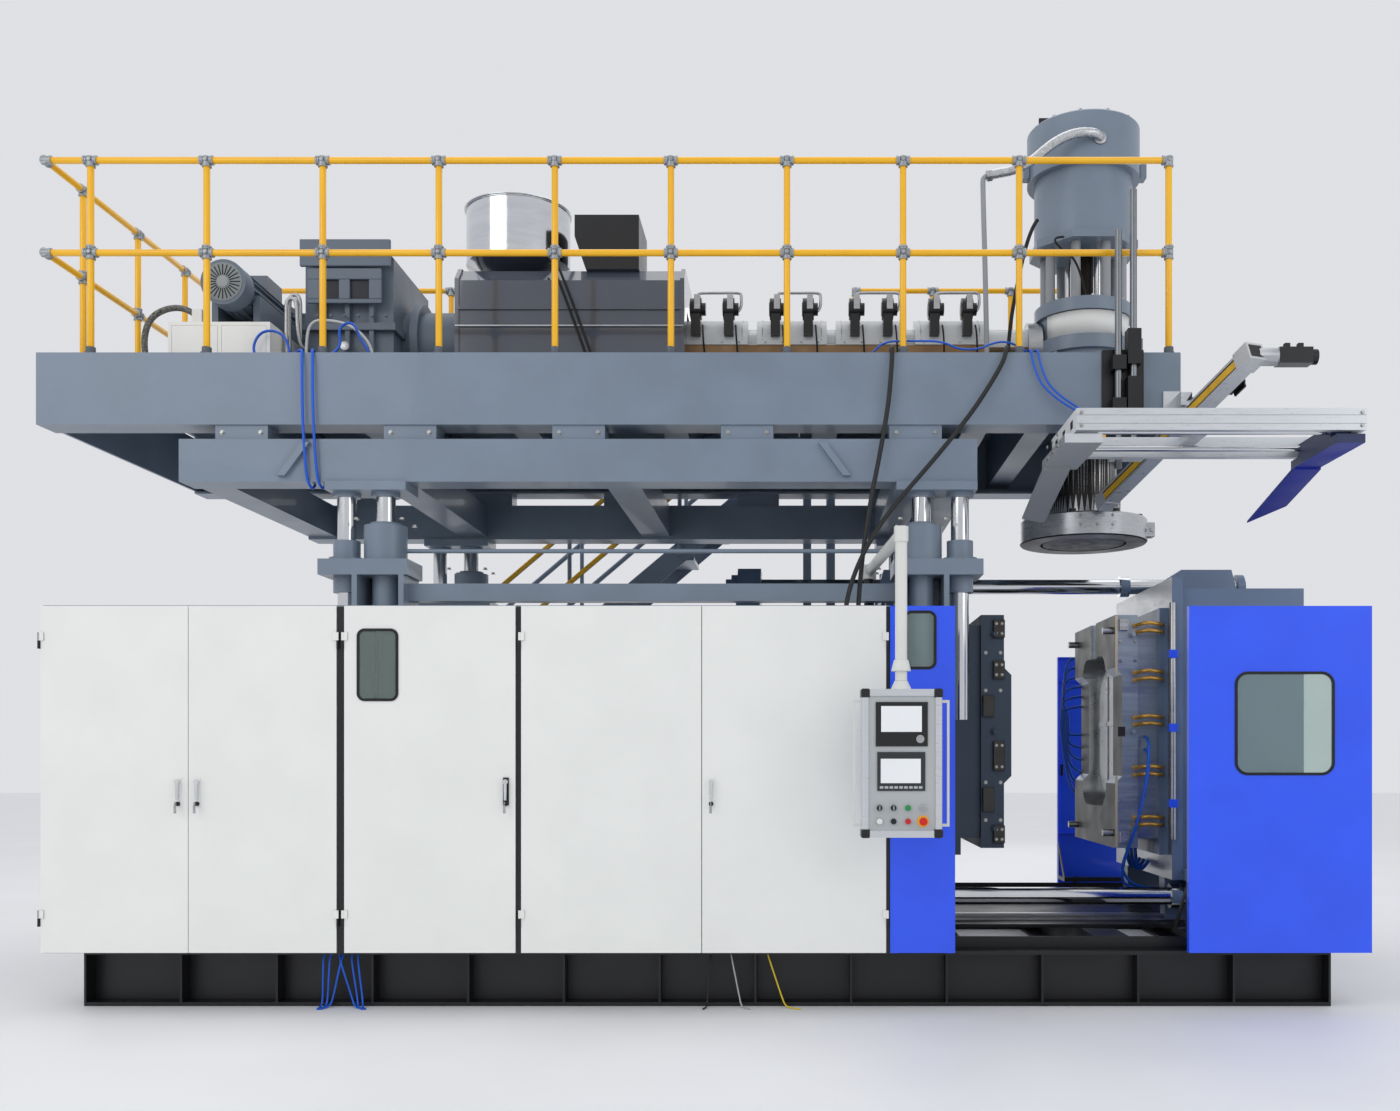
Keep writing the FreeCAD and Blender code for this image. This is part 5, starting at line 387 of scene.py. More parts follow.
# ---- The guard rail: two rows of yellow-painted steel tube on upright posts round the deck,
# open at the back between the stair's handrails.
yellow_paint = coat("yellow_paint", shade(254, 188, 18), rough=0.3, shift=0.05, clear=0.3)
deck_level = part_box("deck_frame")[1].z
tube_radius = 0.019
low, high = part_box("guard_rails")
rail_left, rail_right = low.x + tube_radius, high.x - tube_radius
rail_front, rail_back = low.y + tube_radius, high.y - tube_radius
stair_left, stair_right = -0.6, 0.893
front_pitch, back_pitch, right_pitch = 0.6656, 0.73575, 0.57
post_places = [(-3.58 + front_pitch * k, rail_front) for k in range(9)]
post_places.append((rail_right, rail_front))
post_places += [(rail_left, y) for y in (-0.65, 0.0, 0.65)]
post_places += [(rail_left + 0.297 + back_pitch * k, rail_back) for k in range(5)]
post_places += [(stair_right + right_pitch * k, rail_back) for k in range(4)]
post = turned("post", (0, 0, deck_level + 0.012), (0, 0, deck_level + 1.128), tube_radius, 0.001,
              yellow_paint, "deck", sides=24)
tubes = copies(post, [(x, y, 0) for x, y in post_places])
rail_heights = (0.58, 1.11)
for height in rail_heights:
    z = deck_level + height
    for a, b in (((rail_left, rail_front), (rail_right, rail_front)),
                 ((rail_left, rail_front), (rail_left, rail_back)),
                 ((rail_left, rail_back), (stair_left, rail_back)),
                 ((stair_right, rail_back), (rail_right, rail_back))):
        tubes.append(turned("rail", a + (z,), b + (z,), tube_radius, 0.001, yellow_paint,
                            "deck", sides=24))
rail_tubes = gather("guard_rail_tubes", tubes, "deck")
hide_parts("guard_rails")


# ---- The rail's fittings: grey cast sockets with rolled beads that the tubes plug into, each
# held by a grub screw in a boss, and flanged feet screwed down to the deck's edge.
cast_grey = coat("cast_fitting", shade(160, 165, 168), metallic=0.55, rough=0.4, cloud=30,
                 shift=0.12, grain=150, relief=0.2)
foot_grey = coat("rail_foot_paint", shade(86, 93, 100), rough=0.4, shift=0.08, grain=150,
                 relief=0.15)


def fitting(x, y, z, arms):
    """Where the sleeves and the grub-screw boss of one cast fitting point."""
    centre = Matrix.Translation((x, y, z))
    side = (0, -1 if y < 0 else 1, 0) if abs(x - rail_left) > 0.01 else (-1, 0, 0)
    turns = [Vector(way).to_track_quat("Z", "Y").to_matrix().to_4x4() for way in arms + [side]]
    return [centre @ turn for turn in turns[:-1]], centre @ turns[-1]


sleeve_turns = []
boss_turns = []
for x, y in post_places:
    side_rail = abs(x - rail_left) < 0.001
    along = (0, 1, 0) if side_rail else (1, 0, 0)
    back = tuple(-v for v in along)
    for height in rail_heights:
        arms = [(0, 0, -1)]
        if height < max(rail_heights):
            arms.append((0, 0, 1))
        if (x, y) != (rail_right, rail_front):
            arms.append(along)
        if x != stair_right:
            arms.append(back)
        sleeves, boss = fitting(x, y, deck_level + height, arms)
        sleeve_turns += sleeves
        boss_turns.append(boss)
for y, turn in ((rail_front, 1), (rail_back, -1)):
    for height in rail_heights:
        sleeves, boss = fitting(rail_left, y, deck_level + height, [(1, 0, 0), (0, turn, 0)])
        sleeve_turns += sleeves
        boss_turns.append(boss)
sleeve = turned("sleeve", (0, 0, -0.02), (0, 0, 0.036), 0.0245, 0.001, cast_grey, "deck", sides=20)
bead = turned("bead", (0, 0, 0.027), (0, 0, 0.039), 0.0272, 0.002, cast_grey, "deck", sides=20)
boss = turned("boss", (0, 0, 0), (0, 0, 0.029), 0.012, 0.001, cast_grey, "deck", sides=12)
foot = turned("foot_sleeve", (0, 0, deck_level), (0, 0, deck_level + 0.038), 0.027, 0.002,
              foot_grey, "deck", sides=20)
flange = plate("foot_flange", (-0.026, -0.027, deck_level), (0.026, 0.027, deck_level + 0.007),
               0.002, foot_grey, "deck")
sockets = copies(gather("sleeve_and_bead", [sleeve, bead], "deck"), sleeve_turns)
sockets += copies(boss, boss_turns)
sockets += copies(gather("foot", [foot, flange], "deck"), [(x, y, 0) for x, y in post_places])
rail_sockets = gather("guard_rail_fittings", sockets, "deck")
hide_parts("rail_clamps")


# ---- The stair behind: folded slate stringers with open treads of rolled plate between
# them, standing on the floor, with handrails of the same yellow tube.
dress("rear_stair", slate_paint)
dress("rear_stair", tread, lambda c, n: n.z > 0.95 and 1.16 < c.y < 1.79)
dress("rear_stair", yellow_paint, lambda c, n: c.y < 1.153 or c.y > 1.7935)


# ---- The gearbox: cast housing in slate with a raised face of ribs round two pockets, whose
# shade is painted on thin dark plates, a bolted flange below and a round sight glass for the oil.
cast_slate = coat("gearbox_paint", shade(100, 112, 126), rough=0.45, shift=0.08, grain=140,
                  relief=0.15)
dress("gearbox", cast_slate)
gearbox_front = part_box("gearbox")[0].y
bolts("gearbox_flange_bolts", [(-2.589 + 0.085 * k, gearbox_front - 0.001, 4.05)
                               for k in range(7)], (0, -1, 0), 0.009, 0.01, cast_slate, "deck")
# Painted shade: each pocket's dark is a thin dark plate laid nearly flush with the face.
pocket_painted_shade = coat("gearbox_pocket_painted_shade", shade(34, 38, 48), rough=0.5, shift=0.1)
gearbox_skin = gearbox_front - 0.0015
face = [plate("face", (x, gearbox_front - 0.022, z), (far_x, gearbox_skin, far_z), 0.004,
              cast_slate, "deck")
        for x, z, far_x, far_z in ((-2.56, 4.122, -2.10, 4.148), (-2.56, 4.270, -2.10, 4.338),
                                   (-2.56, 4.148, -2.476, 4.270), (-2.364, 4.148, -2.296, 4.270),
                                   (-2.178, 4.148, -2.10, 4.270))]
face.append(plate("lip", (-2.605, gearbox_front - 0.028, 4.350),
                  (-2.045, gearbox_skin, 4.516), 0.005, cast_slate, "deck"))
gather("gearbox_face", face, "deck")
pocket = plate("pocket", (-2.480, gearbox_front - 0.003, 4.145),
               (-2.360, gearbox_front - 0.0012, 4.275), 0.0005, pocket_painted_shade, "deck")
gather("gearbox_pocket_shade_plates", copies(pocket, [(0, 0, 0), (0.183, 0, 0)]), "deck")
turned("oil_sight_glass", (-2.33, gearbox_front - 0.017, 3.86), (-2.33, gearbox_front, 3.86),
       0.03, 0.004, steel, "deck")


# ---- The drive motor: a finned slate casting with a black belt guard, on a white folded
# cupboard.  Its fan blows through radial slots in a pressed grille at the hood's front.
dress("drive_motor", cast_slate)
dress("drive_motor", black_paint, lambda c, n: c.y > 0.357)
dress("service_box", door_white)
hood = Vector((-3.036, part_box("drive_motor")[0].y, 4.218))
grille_grey = coat("grille_paint", shade(128, 136, 138), rough=0.4, shift=0.05)
turned("fan_grille", hood + Vector((0, 0.002, 0)), hood - Vector((0, 0.004, 0)), 0.118, 0.002,
       grille_grey, "deck", sides=48)
# Painted shade: each slot is a thin black strip on the grille, dark as the hood's inside.
slot_shade_strip = plate("slot_shade_strip", (0.042, -0.0052, -0.0035), (0.106, -0.0035, 0.0035), 0.0006, rubber, "deck")
slots = copies(slot_shade_strip, [Matrix.Translation(hood) @ Matrix.Rotation(math.radians(15 * k), 4, "Y")
                      for k in range(24)])
slots.append(turned("hub", hood - Vector((0, 0.003, 0)), hood - Vector((0, 0.008, 0)), 0.034,
                    0.002, grey_part, "deck"))
gather("fan_grille_slot_shade_and_hub", slots, "deck")


# ---- The barrel: light grey heater shells in pairs, pulled round it by steel bands and
# screws, over a trough of sheet that the heat has turned bronze.
shell_grey = coat("shell_paint", shade(196, 200, 202), rough=0.35, shift=0.03, clear=0.2)
bronze = coat("heat_bronzed_sheet", shade(128, 104, 78), metallic=0.8, rough=0.36, cloud=7,
              shift=0.2)
dress("heated_barrel", steel)
dress("heated_barrel", shell_grey, lambda c, n: c.z > 3.945 and -0.30 < c.x < 1.69)
dress("heated_barrel", bronze, lambda c, n: c.z <= 3.96 and -0.30 < c.x < 1.69)
shell_pitch, shell_radius = 0.508, 0.165
shell_axis, shell_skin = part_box("heated_barrel")[1].z - shell_radius, shell_radius + 0.0015
turns = [math.radians(180 - 22.5 * step) for step in range(9)]
bends = [(0, shell_skin * math.cos(turn), shell_axis + shell_skin * math.sin(turn))
         for turn in turns]
band = gather("band", [turned("bend", low, high, 0.004, 0.0004, steel, "deck", sides=8)
                       for low, high in zip(bends, bends[1:])], "deck")
bands = copies(band, [(x + shell_pitch * k, 0, 0) for k in range(4) for x in (-0.262, 0.118)])
gather("heater_shell_bands", bands, "deck")
bolts("shell_screws", [(-0.072 + shell_pitch * k + dx, -shell_skin, 3.975) for k in range(4)
                       for dx in (-0.17, -0.06, 0.06, 0.17)], (0, -1, 0), 0.006, 0.005, zinc,
      "deck")


# ---- Pipes and hoses beside the gearbox: bent steel oil pipes, a grey grease hose, and a
# braided hose that leaves the cupboard by a small bracket and drops to the deck.
def run(name, points, radius, material, body, loose=False, detail=6):
    """A pipe or hose along its bends; a loose one keeps its centre line for its length."""
    curve = bpy.data.curves.new(name, "CURVE")
    curve.dimensions = "3D"
    line = curve.splines.new("NURBS")
    line.points.add(len(points) - 1)
    for point, place in zip(line.points, points):
        point.co = tuple(place) + (1.0,)
    line.order_u = 3
    line.use_endpoint_u = True
    curve.resolution_u = 12
    piece = bpy.data.objects.new(name, curve)
    bpy.context.collection.objects.link(piece)
    bpy.ops.object.select_all(action="DESELECT")
    piece.select_set(True)
    bpy.context.view_layer.objects.active = piece
    bare = piece.evaluated_get(bpy.context.evaluated_depsgraph_get()).to_mesh()
    centre_line = [vertex.co.copy() for vertex in bare.vertices]
    curve.bevel_depth = radius
    curve.bevel_resolution = detail
    curve.use_fill_caps = True
    bpy.ops.object.convert(target="MESH")
    piece = bpy.context.object
    bpy.ops.object.shade_smooth_by_angle(angle=math.radians(50))
    piece.data.materials.append(material)
    if not loose:
        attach(piece, body)
        return piece
    return piece, centre_line


braid = coat("braided_sleeve", shade(104, 104, 100), rough=0.5, cloud=90, shift=0.9)
plate("hose_bracket", (-3.300, -0.405, 3.9265), (-3.236, -0.300, 4.105), 0.004, door_white,
      "deck")
run("braided_hose", [(-3.299, -0.350, 4.085), (-3.350, -0.350, 4.125), (-3.460, -0.360, 4.130),
                     (-3.570, -0.370, 4.070), (-3.610, -0.380, 3.950), (-3.600, -0.380, 3.800),
                     (-3.580, -0.380, 3.628)], 0.019, braid, "deck")
run("oil_pipe_1", [(-2.665, -0.470, 3.628), (-2.665, -0.470, 4.080), (-2.664, -0.470, 4.155),
                   (-2.630, -0.470, 4.175), (-2.600, -0.470, 4.150), (-2.598, -0.470, 4.050),
                   (-2.598, -0.470, 3.900), (-2.598, -0.460, 3.870), (-2.598, -0.431, 3.866)],
    0.012, steel, "deck")
run("oil_pipe_2", [(-2.665, -0.520, 3.628), (-2.665, -0.520, 4.040), (-2.664, -0.520, 4.115),
                   (-2.630, -0.520, 4.135), (-2.600, -0.520, 4.110), (-2.598, -0.520, 3.960),
                   (-2.585, -0.500, 3.840), (-2.560, -0.470, 3.832), (-2.560, -0.431, 3.830)],
    0.012, steel, "deck")
run("grease_hose", [(-2.530, -0.560, 3.628), (-2.530, -0.560, 3.860), (-2.500, -0.560, 3.975),
                    (-2.400, -0.560, 3.985), (-2.260, -0.550, 3.960), (-2.150, -0.540, 3.860),
                    (-2.120, -0.530, 3.740), (-2.120, -0.530, 3.628)], 0.009, shell_grey, "deck")


# ---- The blowers: eight black plastic fans in front of the shells, each held by a bent steel
# saddle, with a rubber lead at its foot and a bent steel pipe across each pair.
dress("blowers", black_plastic)
dress("blowers", steel, lambda c, n: n.z > 0.8 and c.z > 4.2)
blower_pitch = 0.210
low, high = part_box("blowers")
blower_y, blower_radius = middle("blowers").y, 0.068
blower_skin = blower_y - blower_radius
saddle = [plate("saddle_top", (-0.019, blower_skin - 0.0035, high.z + 0.0005),
                (0.019, blower_y + blower_radius + 0.0035, high.z + 0.0045), 0.001, steel,
                "deck"),
          plate("saddle_front", (-0.019, blower_skin - 0.0042, 4.165),
                (0.019, blower_skin - 0.0005, high.z + 0.0045), 0.001, steel, "deck")]
lead = run("lead", [(0.035, -0.2325, 4.06), (0.037, -0.262, 4.03), (0.044, -0.262, 3.93),
                    (0.05, -0.20, 3.84), (0.05, -0.15, 3.80)], 0.006, rubber, "deck", detail=3)
link = run("link", [(x, blower_y, z) for x, z in
                    ((0, 4.256), (0, 4.284), (0.03, 4.290), (blower_pitch, 4.290),
                     (blower_pitch + 0.06, 4.290), (blower_pitch + 0.069, 4.27),
                     (blower_pitch + 0.069, 4.19), (blower_pitch + 0.045, 4.17))], 0.0095, steel,
           "deck")
blower_places = [(low.x + 0.051 + shell_pitch * pair + dx, 0, 0) for pair in range(4)
                 for dx in (0.0, blower_pitch)]
gather("blower_saddles", copies(gather("saddle", saddle, "deck"), blower_places), "deck")
gather("blower_leads", copies(lead, blower_places), "deck")
for number, link in enumerate(copies(link, blower_places[::2]), start=1):
    link.name = "blower_link_%d" % number


# ---- The barrel's cover: a lacquered dark sheet hood with a black top box, a polished bead
# along its side and a galvanised strip at its foot, held by black knobs.
glossy_slate = coat("cover_lacquer", shade(72, 78, 90), rough=0.14, shift=0.05, clear=0.7)
dress("barrel_cover", glossy_slate)
dress("barrel_cover", black_plastic, lambda c, n: -0.936 < c.x < -0.526 and c.z > 4.3945)
low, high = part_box("barrel_cover")
cover_skin = low.y - 0.0025
plate("cover_bead", (low.x + 0.003, cover_skin, 4.012), (high.x - 0.003, low.y - 0.0005, 4.020),
      0.0008, steel, "deck")
plate("cover_base_strip", (low.x, cover_skin, deck_level + 0.002),
      (high.x, low.y - 0.0005, deck_level + 0.074), 0.0008, galvanised, "deck")
bolts("cover_knobs", [(x, cover_skin, 3.66) for x in (-1.60, -1.28, -0.96, -0.64, -0.31)],
      (0, -1, 0), 0.009, 0.012, black_plastic, "deck")


# ---- The hopper: spun from polished stainless sheet, with a rolled rim and a clamp ring at
# its throat.  Two rubber-sheathed cables run down from it to the deck.
stainless = coat("polished_stainless", shade(206, 209, 212), metallic=1.0, rough=0.13, cloud=4,
                 shift=0.06, grain=300, relief=0.015, stretch=(1, 1, 5))
dress("hopper", stainless)
bpy.ops.object.select_all(action="DESELECT")
hopper_axis, hopper_top = -1.35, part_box("hopper")[1].z
bpy.ops.mesh.primitive_torus_add(location=(hopper_axis, 0, hopper_top - 0.004), major_radius=0.339,
                                 minor_radius=0.007, major_segments=72, minor_segments=12)
hopper_rim = bpy.context.object
hopper_rim.name = "hopper_rim"
bpy.ops.object.transform_apply(location=True)
bpy.ops.object.shade_smooth()
hopper_rim.data.materials.append(stainless)
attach(hopper_rim, "deck")
hopper_cable = run("hopper_cable", [(-1.110, -0.300, 4.403), (-1.075, -0.375, 4.408),
                                    (-1.045, -0.388, 4.360), (-0.940, -0.388, 4.080),
                                    (-0.860, -0.388, 3.860), (-0.810, -0.390, 3.700),
                                    (-0.800, -0.390, 3.628)], 0.008, rubber, "deck", detail=3)
for number, cable in enumerate(copies(hopper_cable, [(0, 0, 0), (0.034, 0, 0)]), start=1):
    cable.name = "hopper_cable_%d" % number


# ---- The accumulator head: slate cylinders above a heated body, tied by bolts, with the
# chromed push rods between, black lifting eyes, and a brushed die at the bottom.
brushed = coat("brushed_die_steel", shade(188, 190, 192), metallic=1.0, rough=0.3, cloud=12,
               shift=0.08, grain=500, relief=0.02, stretch=(1, 1, 14))
dark_steel = coat("heat_dark_steel", shade(70, 68, 66), metallic=0.9, rough=0.38, cloud=9,
                  shift=0.2)
dress("head_body", slate_paint)
dress("head_body", brushed, lambda c, n: c.z < 3.40)
dress("head_body", dark_steel, lambda c, n: 2.9 < c.z < 3.2)
dress("head_top", slate_paint)
dress("head_top", grey_part, lambda c, n: c.z < 4.589)
dress("head_top", black_paint, lambda c, n: c.z > 5.3805)
dress("die_ring", brushed)
dress("die_ring", dark_steel, lambda c, n: c.z < 2.74 or c.z > 2.853)
# The mandrel's face: dark brown stain, plus painted shade for the depth of the hollow ring between
# pin and die, since the pin sits flush with the ring.
stain_and_shade_steel = coat("die_face_stain_and_painted_shade", shade(44, 40, 35), metallic=0.8, rough=0.42, cloud=14,
                   shift=0.25)
dress("die_pin", stain_and_shade_steel)
dress("die_pin", yellow_paint, lambda c, n: c.z > 4.2265)
dress("push_rods", chrome)
head_x = middle("head_top").x
die_radius = 0.408
die_skin = 0.0005 - die_radius
bolts("die_ring_screws", [(head_x + dx, die_skin + abs(dx) * 0.13, z) for dx in (-0.10, 0.0, 0.10)
                          for z in (2.765, 2.825)], (0, -1, 0), 0.008, 0.008, zinc, "deck")
for name, radius, z, first, step, size in (("cylinder_flange_bolts", 0.33, 5.3805, 15, 30, 0.013),
                                           ("gland_plate_bolts", 0.296, 4.2265, 0, 45, 0.012)):
    turns = [math.radians(a) for a in range(first, first + 360, step)]
    bolts(name, [(head_x + radius * math.cos(turn), radius * math.sin(turn), z) for turn in turns],
          (0, 0, 1), size, size + 0.001, zinc, "deck")


# ---- The band round the head's body: a strip of thin white-painted sheet, rolled to the
# cylinder's curve and laid round its front.
blank_white = coat("blank_band", shade(228, 230, 228), rough=0.4, shift=0.03)
band_radius = 0.3025
bpy.ops.object.select_all(action="DESELECT")
bpy.ops.mesh.primitive_cylinder_add(vertices=36, radius=band_radius, depth=0.15,
                                    end_fill_type="NOTHING", location=(head_x, 0, 4.065))
head_band = bpy.context.object
head_band.name = "head_band"
bpy.ops.object.transform_apply(location=True)
bpy.ops.object.mode_set(mode="EDIT")
bpy.ops.mesh.select_mode(type="FACE")
bpy.ops.mesh.select_all(action="DESELECT")
bpy.ops.object.mode_set(mode="OBJECT")
for skin in head_band.data.polygons:
    skin.select = skin.center.y > -0.499 * band_radius
bpy.ops.object.mode_set(mode="EDIT")
bpy.ops.mesh.delete(type="FACE")
bpy.ops.object.mode_set(mode="OBJECT")
bpy.ops.object.shade_smooth()
head_band.data.materials.append(blank_white)
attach(head_band, "deck")
thick = head_band.modifiers.new("thickness", "SOLIDIFY")
thick.thickness = 0.0012
thick.offset = 0.0
bpy.ops.object.modifier_apply(modifier=thick.name)


# ---- Pipes and hoses beside the head: a foil-wrapped hose on a steel ferrule, the grey
# return pipe it screws into, a rubber drain hose, and a sensor's thin lead.
foil = coat("foil_hose", shade(196, 198, 200), metallic=1.0, rough=0.25, cloud=40, shift=0.2,
            grain=90, relief=0.8, stretch=(1, 1, 3))
run("foil_hose", [(2.366, -0.350, 5.190), (2.360, -0.400, 5.205), (2.200, -0.420, 5.200),
                  (2.060, -0.400, 5.140), (1.940, -0.370, 5.040), (1.820, -0.360, 4.985),
                  (1.700, -0.360, 4.965), (1.662, -0.360, 4.955)], 0.030, foil, "deck")
turned("foil_hose_ferrule", (2.366, -0.345, 5.190), (2.366, -0.372, 5.190), 0.040, 0.004, steel,
       "deck")
turned("pipe_elbow_nut", (1.690, -0.360, 4.958), (1.655, -0.360, 4.952), 0.036, 0.004, steel,
       "deck", sides=6)
run("return_pipe", [(1.668, -0.360, 4.955), (1.636, -0.360, 4.948), (1.632, -0.360, 4.900),
                    (1.650, -0.360, 4.300), (1.662, -0.360, 3.627)], 0.016, grey_part, "deck")
run("drain_hose", [(1.985, -0.300, 4.700), (1.930, -0.350, 4.620), (1.850, -0.370, 4.300),
                   (1.790, -0.375, 3.950), (1.775, -0.375, 3.627)], 0.012, rubber, "deck")
run("sensor_lead", [(2.150, -0.300, 4.595), (2.060, -0.390, 4.560), (2.110, -0.400, 4.480),
                    (2.230, -0.370, 4.420), (2.290, -0.300, 4.230)], 0.007, rubber, "deck",
    detail=4)


# ---- The clamp: welded platens in slate on their bed rails, with machined faces for the
# moulds, tied across the corners by two hard-chromed bars.
platen_slate = coat("platen_paint", shade(98, 118, 146), rough=0.36, shift=0.06, clear=0.15)
dress("right_platen", platen_slate)
dress("right_platen", steel, lambda c, n: c.x < 2.725)
dress("left_platen", platen_slate)
dress("tie_bars", platen_slate)
dress("tie_bars", chrome, lambda c, n: 0.21 < c.x < 3.50 and (abs(c.y) > 0.53)
      and (c.z > 2.36 or c.z < 0.63) and abs(abs(c.y) - 0.62) < 0.06 and c.x > 0.23)


# ---- The mould halves: machined aluminium with an olive parting face, cream edges, steel
# guide blocks and pads, all screwed on.
mould_grey = coat("machined_mould", shade(150, 160, 170), metallic=0.75, rough=0.36, cloud=6,
                  shift=0.1, grain=600, relief=0.05, stretch=(1, 1, 9))
mould_olive = coat("mould_face", shade(66, 66, 56), metallic=0.25, rough=0.4, cloud=5,
                   shift=0.12)
insert_grey = coat("insert_alloy", shade(196, 198, 198), metallic=0.8, rough=0.3, cloud=9,
                   shift=0.1, grain=500)
mould_dark = coat("dark_mould", shade(62, 74, 88), metallic=0.4, rough=0.4, shift=0.08)


def in_pocket(c):
    """Whether a point lies in the milled pocket that the cavity's insert fills."""
    return abs(c.y) < 0.345 and 0.99 < c.z < 1.965


dress("right_mould", mould_grey)
dress("right_mould", mould_olive, lambda c, n: n.x < -0.9 and c.x < 2.46)
dress("right_mould", insert_grey, lambda c, n: 2.4095 < c.x < 2.545 and in_pocket(c)
      and abs(c.x - 2.453) > 0.002)
dress("right_mould", platen_slate, lambda c, n: c.x > 2.6735)
dress("right_mould", steel, lambda c, n: c.x < 2.4079)
dress("left_mould", mould_dark)
dress("left_mould", insert_grey, lambda c, n: 1.65 < c.x < 1.7765 and in_pocket(c))
cream = coat("parting_edge", shade(206, 190, 158), metallic=0.3, rough=0.4, shift=0.08)
mould_side = -0.5755
for end, foot_z, top_z in (("lower", 0.765, 1.199), ("upper", 1.816, 2.176)):
    plate("parting_edge_" + end, (2.4095, -0.5775, foot_z), (2.424, mould_side, top_z), 0.0006,
          cream, "right_platen")
guide_heights = (0.79, 2.085)
guide_block = plate("guide_block", (2.432, -0.601, 0), (2.486, mould_side, 0.07), 0.003, steel,
                    "right_platen")
gather("mould_guide_blocks", copies(guide_block, [(0, 0, z) for z in guide_heights]),
       "right_platen")
bolts("mould_guide_bolts", [(x, -0.601, z + dz) for x in (2.445, 2.473) for z in guide_heights
                            for dz in (0.018, 0.052)], (0, -1, 0), 0.006, 0.006, zinc,
      "right_platen")
bolts("mould_side_bolts", [(x, mould_side, z) for x in (2.44, 2.53)
                           for z in (0.93, 1.05, 1.90, 2.02)], (0, -1, 0), 0.009, 0.009, zinc,
      "right_platen")
bolts("left_mould_side_bolts", [(x, mould_side, z) for x in (1.62, 1.71)
                                for z in (0.93, 1.16, 1.72, 1.95)], (0, -1, 0), 0.009, 0.009,
      zinc, "left_platen")
blocks = [plate("block", (x, -0.602, z), (x + 0.070, mould_side, z + h), 0.003, dark_steel,
                "left_platen")
          for x, z, h in ((1.664, 0.790, 0.110), (1.600, 0.980, 0.150), (1.664, 1.230, 0.180),
                          (1.600, 1.560, 0.130), (1.664, 1.790, 0.110), (1.664, 2.040, 0.110))]
gather("left_mould_blocks", blocks, "left_platen")
bolts("left_block_screws", [(x, -0.602, z) for x in (1.682, 1.716) for z in
                            (0.815, 0.875, 1.255, 1.385, 1.815, 1.875, 2.065, 2.125)],
      (0, -1, 0), 0.007, 0.007, zinc, "left_platen")
# Painted shade: the latch recess is a thin dark steel plate on the mould's side.
plate("mould_latch_recess_shade", (2.425, -0.5775, 1.44), (2.47, mould_side, 1.50), 0.0006, dark_steel,
      "right_platen")


# ---- The cavity's insert: a rounded block of light alloy, milled with its edges broken,
# crossed by two bars and screwed into the mould's face.
bpy.ops.object.select_all(action="DESELECT")
bpy.ops.mesh.primitive_cylinder_add(vertices=48, radius=0.235, depth=0.012,
                                    rotation=(0, math.radians(90), 0))
insert = bpy.context.object
insert.name = "cavity_insert"
bpy.ops.object.transform_apply(rotation=True)
for corner in insert.data.vertices:
    corner.co.z += 0.175 if corner.co.z > 0.001 else -0.175
    corner.co += Vector((2.508, 0.0, 1.480))
bpy.ops.object.mode_set(mode="EDIT")
bpy.ops.mesh.select_all(action="SELECT")
bpy.ops.mesh.bevel(offset=0.004, segments=2, affect="EDGES", clamp_overlap=True)
bpy.ops.object.mode_set(mode="OBJECT")
insert.data.materials.append(insert_grey)
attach(insert, "right_platen")
bars = [plate("bar", (2.494, y0, z0), (2.5015, y1, z1), 0.002, insert_grey, "right_platen")
        for y0, y1, z0, z1 in ((-0.230, 0.230, 1.515, 1.545), (-0.012, 0.012, 1.120, 1.840))]
gather("cavity_crossbar", bars, "right_platen")


# ---- The moulds' water: brass-coloured armoured loops from channel to channel, a steel
# manifold pipe in blue clamps, and loose blue hoses below and behind.
brass = coat("brass_hose", shade(214, 164, 78), metallic=0.7, rough=0.34, cloud=20, shift=0.15,
             grain=120, relief=0.5)
blue_hose = coat("blue_hose", shade(18, 92, 208), rough=0.38, shift=0.1)
loop = run("loop", [(2.528, -0.574, 0), (2.532, -0.630, 0), (2.575, -0.672, 0.01),
                    (2.645, -0.660, 0.005), (2.688, -0.630, 0), (2.690, -0.594, 0)], 0.0110,
           brass, "right_platen", detail=4)
ferrule = turned("ferrule", (2.528, -0.5745, 0), (2.529, -0.600, 0), 0.013, 0.001, brass,
                 "right_platen", sides=12)
loops = copies(gather("loop_and_ferrule", [loop, ferrule], "right_platen"),
               [(0, 0, z + dz) for z in (0.902, 1.206, 1.510, 1.783, 2.070)
                for dz in (0.0, 0.045)])
gather("mould_hose_loops", loops, "right_platen")
turned("manifold_pipe", (2.722, -0.706, 0.82), (2.722, -0.706, 2.24), 0.020, 0.002, steel,
       "right_platen")
clamp = plate("pipe_clamp", (2.696, -0.732, 0), (2.748, -0.6845, 0.05), 0.004, blue_paint,
              "right_platen")
gather("manifold_clamps", copies(clamp, [(0, 0, z) for z in (1.012, 1.465, 1.907)]),
       "right_platen")
feed = run("hose", [(2.60, -0.30, 0.815), (2.60, -0.30, 0.72), (2.62, -0.28, 0.62),
                    (2.66, -0.26, 0.60), (2.70, -0.25, 0.66)], 0.012, blue_hose, "right_platen",
           detail=4)
hanging = copies(feed, [(0, 0.10 * k, 0) for k in range(3)])
for z in (1.44, 1.36):
    hanging.append(run("hose", [(2.600, -0.534, z), (2.596, -0.640, z - 0.01),
                                (2.585, -0.690, z - 0.12), (2.560, -0.680, 1.10),
                                (2.515, -0.650, 0.88), (2.470, -0.560, 0.70),
                                (2.470, -0.470, z - 0.82), (2.560, -0.450, 0.50),
                                (2.735, -0.440, z - 0.94)], 0.009, blue_hose, "right_platen",
                       detail=4))
